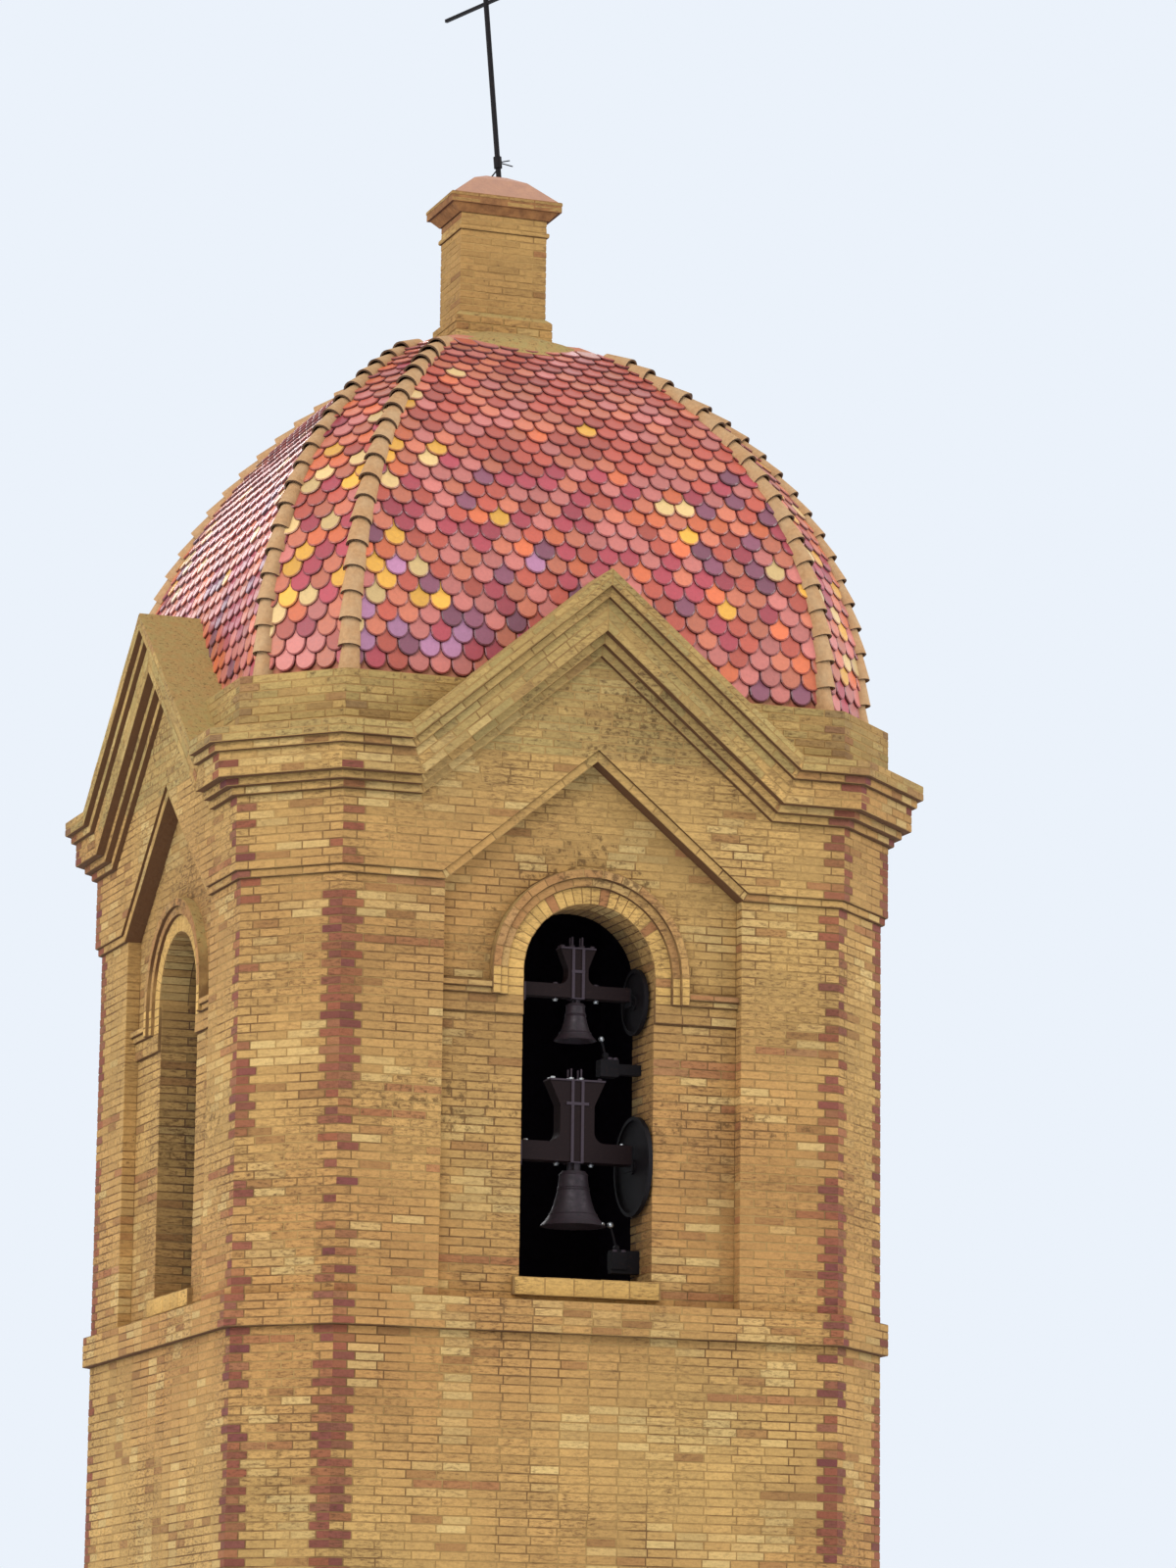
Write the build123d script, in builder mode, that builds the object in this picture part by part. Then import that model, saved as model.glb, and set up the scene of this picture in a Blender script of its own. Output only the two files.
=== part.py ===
"""A brick bell tower: an octagonal belfry with gabled sides under a ribbed dome.

Millimetres, +Z up, the front face towards -Y, origin at ground level on the tower's axis.
The plan is an octagon of four wide faces and four narrow corner faces.
"""
from build123d import *
import math
import os

os.makedirs("parts", exist_ok=True)

# Plan of the tower
HALF_FLAT = 2600            # axis to the plane of the corner piers on a wide face
FACE_HALF = 1994            # half the width of a wide face at that plane
CORNER_TAN = math.tan(math.radians(22.5))
PIER_INNER = 1195           # centre of a face to the inner edge of its corner pier
RECESS_DEPTH = 110          # how far the arched wall lies behind the piers
WALL = 450                  # thickness of the arched wall
LOWER_WALL = 700            # thickness of the shaft below the belfry

# Heights of the lower tower
SILL_HEIGHT = 5700          # ground to the top of the bell openings' sills
PLINTH_HEIGHT = 600
PLINTH_OUT = 70
PLINTH_CHAMFER = 42
BAND_HEIGHT = 240
BAND_OUT = 58
BAND_DROP = 180             # sill top to the top of the band
FLOOR_THICK = 200

# The bell openings
OPENING_HALF = 527
SPRING_RISE = 2315          # sill top to the springing of the arch
VOUSSOIR = 133              # depth of the arch ring
VOUSSOIR_OUT = 22           # how far it stands proud of the wall
ARCH_MOULD = 65             # each of the two mouldings round the ring
ARCH_MOULD_STEP = 27        # how much further out each of them stands
SILL_THICK = 135
SILL_SIDE = 60              # sill past the jamb
SILL_OUT = 45               # sill past the wall
IMPOST_LOW = 1970           # sill top to the underside of the impost band
IMPOST_BAND = 140
IMPOST_FILLET = 45
IMPOST_OUT = 24

# Courses of the entablature: how far each stands out, the height of its underside over the
# corners, where it starts to climb, and the height of its underside at the gable's apex
STRING = (30, 2935, 1195, 3921)
FRIEZE = (53, 2992, 1228, 4009)
BED_LOWER = (97, 3559, 1407, 4730)
BED_UPPER = (152, 3619, 1428, 4815)
FASCIA = (222, 3679, 1448, 4901)
FILLET = (262, 3870, 1519, 5155)
COPING = (308, 3931, 1557, 5237)
COPING_TOP = (308, 4045, 1575, 5368)
RAKE_REACH = 1600           # half width of a face's stretch that holds its gable
PARAPET_TOP = 4474
PARAPET_OUT = 53

# The dome: each gore follows one arc whose centre lies beyond the axis
DOME_RADIUS = 3515
DOME_SET_BACK = 155         # pier face in to a wide gore's face at the springing
DOME_CENTRE_BACK = DOME_RADIUS - (HALF_FLAT - DOME_SET_BACK)
DOME_SPRING = 4676          # sill top to the arcs' centres
DOME_CORNER = 0.79          # half width of a wide gore over its distance from the axis
DOME_SHELL = 300
RIB_RADIUS = 70             # centre of a rib's eight-sided section to its corners
RIB_SIDES = 8
COLLAR_FLAT = 660
COLLAR_TOP_FLAT = 430
DOME_COLLAR_RISE = 60       # seat on the dome to the collar's top

# The brick pedestal and its iron cross
PEDESTAL_HALF_X = 365
PEDESTAL_HALF_Y = 255
PEDESTAL_BASE_OUT = 45
PEDESTAL_BASE = 130
PEDESTAL_ROUND = 40
PEDESTAL_HEIGHT = 1099      # its foot on the collar to the cap
ASTRAGAL_DROP = 143         # cap down to the underside of the astragal
ASTRAGAL = 36
ASTRAGAL_OUT = 18
CAP_FLARE = 65
CAP_FILLET = 85
CAP_FLARE_OUT = 85
CAP_OUT = 108
CAP_DEPTH_SHARE = 0.7       # its growth along Y over its growth along X
CAP_ROOF = 250              # eave to the roof's blunt top
CAP_SHOULDER = 188          # eave to the roof's shoulder, where it gets flatter
CAP_SHOULDER_IN = 137       # shoulder inside the pedestal's plan
CAP_TOP_HALF = 45
MAST_RADIUS = 22
MAST_HEIGHT = 2000
MAST_LEAN = 5.2             # degrees towards -X
MAST_FOOT_X = 42
MAST_SOCKET = 60            # depth of the mast's seat in the roof of the cap
COLLAR_RADIUS = 34
COLLAR_HEIGHT = 95
COLLAR_RISE = 90
ARM_RISE = 1500
ARM_HALF = 530
ARM_THICK = 26
ARM_TURN = 110              # degrees from +X of the arm that points away

# The two bells, each turning on a level axle across the front opening
AXLE_INSET = 400            # face of the front piers to the axles
AXLE_Y = AXLE_INSET - HALF_FLAT
AXLE_RADIUS = 24
AXLE_GAP = 0.1              # clearance round the axle in its bearings
AXLE_END_GAP = 2            # axle end to the jamb
BEARING_PLATE = 20
BEARING_HALF = 75
BEARING_ROUND = 25
LARGE_AXLE = 907            # sill top to the large bell's axle
SMALL_AXLE = 2165
JAMB_GAP = 10               # wheel to bearing plate
WHEEL_THICK = 34
LARGE_WHEEL = 380
SMALL_WHEEL = 254
WHEEL_WEB = 8
WHEEL_RIM = 30
HUB_RADIUS = 60

# Bells, in shares of the mouth's radius and of the height below the shoulder: two arcs from
# the lip to the shoulder, and for the lining how many walls each corner lies inside them
BELL_LIP = ((1, 1), (0.725, 0.79), (0.575, 0.566))
BELL_WAIST = ((0.575, 0.566), (0.472, 0.30), (0.432, 0.06))
BELL_SHOULDER = 0.36
BELL_LINING = ((0.30, 0.10, 0), (0.432, 0.14, 1), (0.475, 0.36, 1), (0.575, 0.60, 1.1),
               (0.714, 0.80, 1.5), (1, 1, 1.2))
CROWN_LOOP = (0.36, 0.22)   # the crown's two crossed blocks, as shares of the mouth's radius
CROWN_BLOCK = (0.14, 0.5)
LARGE_MOUTH = 252
LARGE_HEIGHT = 415
SMALL_MOUTH = 165
SMALL_HEIGHT = 285
BELL_WALL = 0.085           # wall at the waist as a share of the mouth radius
LARGE_HANG = 62             # axle to the bell's shoulder
SMALL_HANG = 40

# Yokes, hung so that the axle runs along the underside of their arms: half width of arms,
# axle to the arms' middle, their depth, then the waist and the head above it
LARGE_ARM = 440
LARGE_ARM_RAISE = 78
LARGE_ARM_DEPTH = 145
LARGE_WAIST = 137
LARGE_HEAD = 222
LARGE_YOKE_TOP = 618        # axle to the top of the head
LARGE_HEAD_FLARE = 185
LARGE_FOOT_FLARE = 88       # radius between the waist and the arms
LARGE_YOKE_THICK = 150
LARGE_TIE = 140             # centre of the yoke to the bolts through its arms
SMALL_ARM = 420
SMALL_ARM_RAISE = 48
SMALL_ARM_DEPTH = 100
SMALL_WAIST = 82
SMALL_HEAD = 142
SMALL_YOKE_TOP = 372
SMALL_HEAD_FLARE = 150
SMALL_FOOT_FLARE = 68
SMALL_YOKE_THICK = 110
SMALL_TIE = 165
STRAP_WIDTH = 22
STRAP_THICK = 8
STRAP_SPREAD = 40           # centre of the yoke to each strap
CLAMP_DROP = 172            # top of the head to the bar across the straps
CLAMP_HALF_SHARE = 0.65     # half length of that bar over the waist's half width
GUDGEON_PLATE = 12          # plate on an arm's end that carries the axle pin
GUDGEON_DROP = 42           # axle to the plate's lower edge
TIE_BOLT = 24               # length of a bolt's end under the arm
HEAD_PLATE = 12
ROD_RADIUS = 7
NUT_RADIUS = 14
HEAD_BOLT_SHARE = 0.85      # centre of the head plate to its bolts over its half width
ROD_REACH = 85

# Striking hammers, each on a unit fixed to the right jamb
HAMMER_GAP = 5              # hammer ball to the bell at the end of its stroke
HAMMER_STROKE = 20
HAMMER_ARM = 9
HAMMER_EYE = 20
EYE_WIDTH = 24
HAMMER_PIN = 10
PIN_GAP = 0.1
EAR = 8
EAR_GAP = 1
HOUSING_ROUND = 8
UNIT_HALF = 55              # half width of a unit's housing, along the wall's thickness
BRACKET_HALF = 40
LARGE_BALL = 24
LARGE_BALL_RISE = 455
LARGE_PIVOT = (350, 285)    # across the opening and above the sill
LARGE_HOUSING = (300, 420, 120, 250)
LARGE_BRACKET = (90, 265)
SMALL_BALL = 22
SMALL_BALL_RISE = 1868
SMALL_PIVOT = (245, 1745)
SMALL_HOUSING = (190, 338, 1578, 1708)
SMALL_BRACKET = (1600, 1680)

SIDES = ("front", "right", "back", "left")
CORNERS = ("front_right", "back_right", "back_left", "front_left")
CUT = 4000                  # longer than anything it has to cut

RECESS_PLANE = HALF_FLAT - RECESS_DEPTH
INNER_PLANE = RECESS_PLANE - WALL
BAND_TOP = SILL_HEIGHT - BAND_DROP
BAND_BOTTOM = BAND_TOP - BAND_HEIGHT
SPRINGING = SILL_HEIGHT + SPRING_RISE
ARCH_OUTER = OPENING_HALF + VOUSSOIR + 2 * ARCH_MOULD


def side_plane(index, distance=0.0):
    """A plane facing out of wide face number index: x to the right, y up."""
    turn = math.radians(90 * index)
    across = (math.cos(turn), math.sin(turn), 0)
    out = (math.sin(turn), -math.cos(turn), 0)
    return Plane(origin=(out[0] * distance, out[1] * distance, 0), x_dir=across, z_dir=out)


def octagon_points(out):
    """Corners of the tower's plan, with every face moved outward by out.

    Inside a thick wall the corner faces can shrink to nothing, which leaves a square.
    """
    flat = HALF_FLAT + out
    half = FACE_HALF + out * CORNER_TAN
    if half >= flat:
        return [(flat, -flat), (flat, flat), (-flat, flat), (-flat, -flat)]
    return [(half, -flat), (flat, -half), (flat, half), (half, flat),
            (-half, flat), (-flat, half), (-flat, -half), (-half, -flat)]


def octagon_ring(bottom, top, out, inner_plane):
    """An octagonal tube between two heights."""
    with BuildPart() as ring:
        with BuildSketch(Plane.XY.offset(bottom)):
            Polygon(*octagon_points(out), align=None)
            Polygon(*octagon_points(inner_plane - HALF_FLAT), align=None, mode=Mode.SUBTRACT)
        extrude(amount=top - bottom)
    return ring.part


# The foot of the tower and its plain lower shaft
with BuildPart() as plinth:
    add(octagon_ring(0, PLINTH_HEIGHT, PLINTH_OUT, HALF_FLAT - LOWER_WALL))
    outer_top = plinth.edges().filter_by(GeomType.LINE).group_by(Axis.Z)[-1].sort_by(
        lambda edge: -math.hypot(edge.center().X, edge.center().Y))[:8]
    chamfer(outer_top, PLINTH_CHAMFER)
plinth.part.label = "plinth"

with BuildPart() as lower_shaft:
    add(octagon_ring(PLINTH_HEIGHT, BAND_BOTTOM, 0, HALF_FLAT - LOWER_WALL))
lower_shaft.part.label = "lower_shaft"

with BuildPart() as base_band:
    add(octagon_ring(BAND_BOTTOM, BAND_TOP, BAND_OUT, INNER_PLANE))
base_band.part.label = "base_band"

with BuildPart() as belfry_floor:
    with BuildSketch(Plane.XY.offset(BAND_BOTTOM)):
        Polygon(*octagon_points(INNER_PLANE - HALF_FLAT), align=None)
    extrude(amount=FLOOR_THICK)
belfry_floor.part.label = "belfry_floor"


# The belfry's corner piers
def corner_pier(index):
    """The brick pier round one narrow face, with a pilaster strip on each side."""
    outer = octagon_points(0)
    inner = octagon_points(INNER_PLANE - HALF_FLAT)
    with BuildPart() as pier:
        with BuildSketch(Plane.XY.offset(BAND_TOP)):
            Polygon((PIER_INNER, -HALF_FLAT), outer[0], outer[1], (HALF_FLAT, -PIER_INNER),
                    (INNER_PLANE, -PIER_INNER), inner[1], inner[0],
                    (PIER_INNER, -INNER_PLANE), align=None)
        extrude(amount=SILL_HEIGHT + STRING[1] - BAND_TOP)
    return pier.part.rotate(Axis.Z, 90 * index)


# The arched walls between the piers
def arch_wall(index):
    """One recessed wall: arched opening, seat for the sill, top cut to the gable's slopes."""
    ring_edge = OPENING_HALF + VOUSSOIR
    sill_half = OPENING_HALF + SILL_SIDE
    with BuildPart() as wall:
        with BuildSketch(side_plane(index, INNER_PLANE)):
            Polygon((-PIER_INNER, BAND_TOP), (PIER_INNER, BAND_TOP),
                    (PIER_INNER, SILL_HEIGHT + STRING[1]), (0, SILL_HEIGHT + STRING[3]),
                    (-PIER_INNER, SILL_HEIGHT + STRING[1]), align=None)
            with BuildLine():
                ThreePointArc((-ring_edge, SPRINGING), (0, SPRINGING + ring_edge),
                              (ring_edge, SPRINGING))
                Polyline((ring_edge, SPRINGING), (OPENING_HALF, SPRINGING),
                         (OPENING_HALF, SILL_HEIGHT), (sill_half, SILL_HEIGHT),
                         (sill_half, SILL_HEIGHT - SILL_THICK),
                         (-sill_half, SILL_HEIGHT - SILL_THICK), (-sill_half, SILL_HEIGHT),
                         (-OPENING_HALF, SILL_HEIGHT), (-OPENING_HALF, SPRINGING),
                         (-ring_edge, SPRINGING))
            make_face(mode=Mode.SUBTRACT)
        extrude(amount=WALL)
    return wall.part


def arch_band(index, inner, outer, start, end):
    """A half ring with short upright feet, from distance start to distance end."""
    foot = SPRING_RISE - IMPOST_LOW - IMPOST_BAND
    with BuildPart() as band:
        with BuildSketch(side_plane(index, start)):
            with Locations((0, SPRINGING)):
                Circle(outer)
                Circle(inner, mode=Mode.SUBTRACT)
            with Locations((0, SPRINGING - outer)):
                Rectangle(2 * outer, 2 * outer, mode=Mode.SUBTRACT)
            with Locations(((inner + outer) / 2, SPRINGING - foot / 2),
                           (-(inner + outer) / 2, SPRINGING - foot / 2)):
                Rectangle(outer - inner, foot)
        extrude(amount=end - start)
    return band.part


def archivolt(index):
    """The arch ring through the wall, with two stepped mouldings on the wall's face."""
    ring_edge = OPENING_HALF + VOUSSOIR
    face = RECESS_PLANE + VOUSSOIR_OUT
    with BuildPart() as arch:
        with BuildSketch(side_plane(index, INNER_PLANE)):
            with Locations((0, SPRINGING)):
                Circle(ring_edge)
                Circle(OPENING_HALF, mode=Mode.SUBTRACT)
            with Locations((0, SPRINGING - ring_edge)):
                Rectangle(2 * ring_edge, 2 * ring_edge, mode=Mode.SUBTRACT)
        extrude(amount=WALL)
        add(arch_band(index, OPENING_HALF, ring_edge, RECESS_PLANE, face))
        for step in (1, 2):
            low = ring_edge + (step - 1) * ARCH_MOULD
            add(arch_band(index, low, low + ARCH_MOULD, RECESS_PLANE,
                          face + step * ARCH_MOULD_STEP))
    return arch.part


def impost(index, hand):
    """The moulded band from the jamb to the pier, on one side of an opening."""
    base = SILL_HEIGHT + IMPOST_LOW
    with BuildPart() as band:
        with BuildSketch(side_plane(index, RECESS_PLANE)):
            Polygon((hand * OPENING_HALF, base), (hand * PIER_INNER, base),
                    (hand * PIER_INNER, base + IMPOST_BAND),
                    (hand * OPENING_HALF, base + IMPOST_BAND), align=None)
        extrude(amount=IMPOST_OUT)
        for step in (1, 2):
            low = base + IMPOST_BAND + (step - 1) * IMPOST_FILLET
            with BuildSketch(side_plane(index, RECESS_PLANE)):
                Polygon((hand * ARCH_OUTER, low), (hand * PIER_INNER, low),
                        (hand * PIER_INNER, low + IMPOST_FILLET),
                        (hand * ARCH_OUTER, low + IMPOST_FILLET), align=None)
            extrude(amount=IMPOST_OUT * (step + 1))
    return band.part


def window_sill(index):
    """The slab under one opening, running through the wall."""
    half = OPENING_HALF + SILL_SIDE
    with BuildPart() as sill:
        with BuildSketch(side_plane(index, INNER_PLANE)):
            Polygon((-half, SILL_HEIGHT - SILL_THICK), (half, SILL_HEIGHT - SILL_THICK),
                    (half, SILL_HEIGHT), (-half, SILL_HEIGHT), align=None)
        extrude(amount=WALL + SILL_OUT)
    return sill.part


corner_piers = {}
arch_walls = {}
archivolts = {}
for number, side in enumerate(SIDES):
    corner_piers[CORNERS[number]] = corner_pier(number)
    arch_walls[side] = arch_wall(number)
    archivolts[side] = archivolt(number)

with BuildPart() as imposts:
    for number in range(4):
        add(impost(number, -1))
        add(impost(number, 1))
imposts.part.label = "imposts"

with BuildPart() as window_sills:
    for number in range(4):
        add(window_sill(number))
window_sills.part.label = "window_sills"


# The dome's gores, needed first because the gables run back to them
def dome_height(distance):
    """Height above the ground of the dome's outer face over a wide gore."""
    return SILL_HEIGHT + DOME_SPRING + math.sqrt(
        DOME_RADIUS ** 2 - (distance + DOME_CENTRE_BACK) ** 2)


def gore_section(stretch, radius):
    """The area from the axis out to one of a gore's arcs, down to the dome's foot."""
    centre = (-stretch * DOME_CENTRE_BACK, SILL_HEIGHT + DOME_SPRING)
    foot = SILL_HEIGHT + PARAPET_TOP
    reach = centre[0] + stretch * radius
    top_angle = math.degrees(math.acos(DOME_CENTRE_BACK / radius))
    with BuildSketch() as area:
        with BuildLine():
            if stretch == 1:
                arc = CenterArc(centre, radius, 0, top_angle)
            else:
                arc = EllipticalCenterArc(centre, stretch * radius, radius, start_angle=0,
                                          arc_size=top_angle)
            Polyline(arc @ 1, (0, foot), (reach, foot), arc @ 0)
        make_face()
    return area.sketch


def gore_prism(index, stretch, inner_radius, outer_radius):
    """A long prism with one gore's upright section, its lengths from the axis stretched."""
    turn = math.radians(45 * index)
    out = (math.sin(turn), -math.cos(turn), 0)
    across = (math.cos(turn), math.sin(turn), 0)
    section_plane = Plane(origin=(0, 0, 0), x_dir=out, z_dir=(-across[0], -across[1], 0))
    with BuildPart() as prism:
        with BuildSketch(section_plane):
            add(gore_section(stretch, outer_radius))
            if inner_radius:
                add(gore_section(stretch, inner_radius), mode=Mode.SUBTRACT)
        extrude(amount=CUT, both=True)
    return prism.part


def gore(index, stretch, inner_radius, outer_radius):
    """One gore of the shell, cut from its prism between its two hips."""
    wide = index % 2 == 0
    half = DOME_CORNER if wide else (1 - DOME_CORNER) / (1 + DOME_CORNER)
    turn = 45 * index
    with BuildPart() as piece:
        add(gore_prism(index, stretch, inner_radius, outer_radius))
        with BuildSketch(Plane.XY.offset(SILL_HEIGHT + PARAPET_TOP).rotated((0, 0, turn))):
            Polygon((0, 0), (half * CUT, -CUT), (-half * CUT, -CUT), align=None)
        extrude(amount=CUT, mode=Mode.INTERSECT)
    return piece.part


NARROW_STRETCH = (1 + DOME_CORNER) / math.sqrt(2)


def dome_plan(flat):
    """Corners of the dome's plan at a given distance of its wide gores."""
    half = DOME_CORNER * flat
    return [(half, -flat), (flat, -half), (flat, half), (half, flat),
            (-half, flat), (-flat, half), (-flat, -half), (-half, -flat)]


collar_seat = dome_height(COLLAR_FLAT)
collar_foot = SILL_HEIGHT + DOME_SPRING + math.sqrt(
    (DOME_RADIUS - DOME_SHELL) ** 2 - (COLLAR_FLAT + DOME_CENTRE_BACK) ** 2)

with BuildPart() as dome_collar:
    with BuildSketch(Plane.XY.offset(collar_foot)):
        Polygon(*dome_plan(COLLAR_FLAT), align=None)
    extrude(amount=collar_seat - collar_foot)
    with BuildSketch(Plane.XY.offset(collar_seat)):
        Polygon(*dome_plan(COLLAR_FLAT), align=None)
    with BuildSketch(Plane.XY.offset(collar_seat + DOME_COLLAR_RISE)):
        Polygon(*dome_plan(COLLAR_TOP_FLAT), align=None)
    loft()
dome_collar.part.label = "dome_collar"

gores = []
for number in range(8):
    gore_stretch = NARROW_STRETCH if number % 2 else 1
    gores.append(gore(number, gore_stretch, DOME_RADIUS - DOME_SHELL, DOME_RADIUS))

with BuildPart() as dome_shell:
    add(gores)
    with BuildSketch(Plane.XY.offset(collar_foot - DOME_SHELL)):
        Polygon(*dome_plan(COLLAR_FLAT), align=None)
    extrude(amount=CUT, mode=Mode.SUBTRACT)
dome_shell.part.label = "dome_shell"


def hip_rib(index):
    """An eight-sided rib bedded over one hip, from the dome's foot to the collar."""
    corner = dome_plan(1)[index]
    reach = math.hypot(*corner)
    out = (corner[0] / reach, corner[1] / reach, 0)
    hip_plane = Plane(origin=(0, 0, 0), x_dir=out, z_dir=(out[1], -out[0], 0))
    top_angle = math.degrees(math.acos((DOME_CENTRE_BACK + COLLAR_FLAT) / DOME_RADIUS))
    centre = (-reach * DOME_CENTRE_BACK, SILL_HEIGHT + DOME_SPRING)
    spring = centre[0] + reach * DOME_RADIUS
    foot = SILL_HEIGHT + PARAPET_TOP
    with BuildPart() as rib:
        with BuildLine(hip_plane) as hip:
            Line((spring, foot), (spring, centre[1]))
            EllipticalCenterArc(centre, reach * DOME_RADIUS, DOME_RADIUS, start_angle=0,
                                arc_size=top_angle)
        with BuildSketch(Plane(origin=(out[0] * spring, out[1] * spring, foot))):
            RegularPolygon(RIB_RADIUS, RIB_SIDES, rotation=180 / RIB_SIDES)
        sweep(path=hip.line)
    return rib.part


ribs = [hip_rib(number) for number in range(8)]

with BuildPart() as dome_ribs:
    add(ribs)
    add(dome_shell.part, mode=Mode.SUBTRACT)
    with BuildSketch(Plane.XY.offset(collar_foot - DOME_SHELL)):
        Polygon(*dome_plan(COLLAR_FLAT), align=None)
    extrude(amount=CUT, mode=Mode.SUBTRACT)
dome_ribs.part.label = "dome_ribs"


# The courses that run round the corners and climb over each gable
def raked_stretch(low, high):
    """The middle of a course on the front: level, up over the gable, level again."""
    low_h, high_h = SILL_HEIGHT + low[1], SILL_HEIGHT + high[1]
    with BuildPart() as stretch:
        with BuildSketch(side_plane(0, INNER_PLANE)):
            Polygon((-RAKE_REACH, low_h), (-low[2], low_h), (0, SILL_HEIGHT + low[3]),
                    (low[2], low_h), (RAKE_REACH, low_h), (RAKE_REACH, high_h),
                    (high[2], high_h), (0, SILL_HEIGHT + high[3]), (-high[2], high_h),
                    (-RAKE_REACH, high_h), align=None)
        extrude(amount=HALF_FLAT + low[0] - INNER_PLANE)
        add(gore_prism(0, 1, 0, DOME_RADIUS), mode=Mode.SUBTRACT)
    return stretch.part


def climbing_course(low, high):
    """One course of the entablature, mitred round the octagon and raked over four gables."""
    low_h, high_h = SILL_HEIGHT + low[1], SILL_HEIGHT + high[1]
    stretch = raked_stretch(low, high)
    with BuildPart() as course:
        add(octagon_ring(low_h, high_h, low[0], INNER_PLANE))
        with BuildSketch(Plane.XY.offset(low_h)):
            Rectangle(2 * RAKE_REACH, CUT * 2)
            Rectangle(CUT * 2, 2 * RAKE_REACH)
        extrude(amount=high_h - low_h, mode=Mode.SUBTRACT)
        for index in range(4):
            add(stretch.rotate(Axis.Z, 90 * index))
    return course.part


with BuildPart() as string_course:
    add(climbing_course(STRING, FRIEZE))
string_course.part.label = "string_course"

with BuildPart() as frieze:
    add(climbing_course(FRIEZE, BED_LOWER))
frieze.part.label = "frieze"

with BuildPart() as cornice:
    for course_low, course_high in ((BED_LOWER, BED_UPPER), (BED_UPPER, FASCIA),
                                    (FASCIA, FILLET), (FILLET, COPING)):
        add(climbing_course(course_low, course_high))
cornice.part.label = "cornice"

with BuildPart() as gable_coping:
    add(climbing_course(COPING, COPING_TOP))
gable_coping.part.label = "gable_coping"

with BuildPart() as parapet:
    add(octagon_ring(SILL_HEIGHT + COPING_TOP[1], SILL_HEIGHT + PARAPET_TOP,
                     PARAPET_OUT, INNER_PLANE))
    for number in range(4):
        with BuildSketch(side_plane(number)):
            Polygon((-COPING_TOP[2], SILL_HEIGHT + COPING_TOP[1]),
                    (COPING_TOP[2], SILL_HEIGHT + COPING_TOP[1]),
                    (0, SILL_HEIGHT + COPING_TOP[3]), align=None)
        extrude(amount=CUT, mode=Mode.SUBTRACT)
parapet.part.label = "parapet"

# The pedestal on the dome
shaft_foot = collar_seat + DOME_COLLAR_RISE
shaft_top = shaft_foot + PEDESTAL_HEIGHT
with BuildPart() as pedestal_shaft:
    with BuildSketch(Plane.XY.offset(shaft_foot)):
        Rectangle(2 * (PEDESTAL_HALF_X + PEDESTAL_BASE_OUT),
                  2 * (PEDESTAL_HALF_Y + PEDESTAL_BASE_OUT))
    extrude(amount=PEDESTAL_BASE)
    fillet(pedestal_shaft.edges().group_by(Axis.Z)[-1], PEDESTAL_ROUND)
    with BuildSketch(Plane.XY.offset(shaft_foot)):
        Rectangle(2 * PEDESTAL_HALF_X, 2 * PEDESTAL_HALF_Y)
    extrude(amount=PEDESTAL_HEIGHT)
    with BuildSketch(Plane.XY.offset(shaft_top - ASTRAGAL_DROP)):
        Rectangle(2 * (PEDESTAL_HALF_X + ASTRAGAL_OUT), 2 * (PEDESTAL_HALF_Y + ASTRAGAL_OUT))
    extrude(amount=ASTRAGAL)
pedestal_shaft.part.label = "pedestal_shaft"

cap_eave = shaft_top + CAP_FLARE + CAP_FILLET


def cap_outline(out, height):
    """The pedestal's plan grown by out, at a height above the ground."""
    with BuildSketch(Plane.XY.offset(height)) as outline:
        Rectangle(2 * (PEDESTAL_HALF_X + out), 2 * (PEDESTAL_HALF_Y + out * CAP_DEPTH_SHARE))
    return outline.sketch


mast_foot = Location((MAST_FOOT_X, 0, cap_eave + CAP_ROOF - MAST_SOCKET), (0, -MAST_LEAN, 0))
with BuildPart() as pedestal_cap:
    add(cap_outline(ASTRAGAL_OUT, shaft_top))
    add(cap_outline(CAP_FLARE_OUT, shaft_top + CAP_FLARE))
    loft()
    add(cap_outline(CAP_OUT, shaft_top + CAP_FLARE))
    extrude(amount=CAP_FILLET)
    add(cap_outline(CAP_OUT - ASTRAGAL_OUT, cap_eave))
    add(cap_outline(-CAP_SHOULDER_IN, cap_eave + CAP_SHOULDER))
    loft()
    add(cap_outline(-CAP_SHOULDER_IN, cap_eave + CAP_SHOULDER))
    with BuildSketch(Plane.XY.offset(cap_eave + CAP_ROOF)):
        Rectangle(4 * CAP_TOP_HALF, 2 * CAP_TOP_HALF)
    loft()
    with BuildSketch(Plane(mast_foot)):
        Circle(MAST_RADIUS)
    extrude(amount=CUT, mode=Mode.SUBTRACT)
pedestal_cap.part.label = "pedestal_cap"

with BuildPart() as iron_cross:
    with BuildSketch(Plane(mast_foot)):
        Circle(MAST_RADIUS)
    extrude(amount=MAST_HEIGHT + MAST_SOCKET)
    with BuildSketch(Plane(mast_foot).offset(MAST_SOCKET + COLLAR_RISE)):
        Circle(COLLAR_RADIUS)
    extrude(amount=COLLAR_HEIGHT)
    with BuildSketch(Plane(mast_foot).offset(MAST_SOCKET + ARM_RISE - ARM_THICK / 2)):
        Rectangle(2 * ARM_HALF, ARM_THICK, rotation=ARM_TURN)
    extrude(amount=ARM_THICK)
iron_cross.part.label = "iron_cross"


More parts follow.
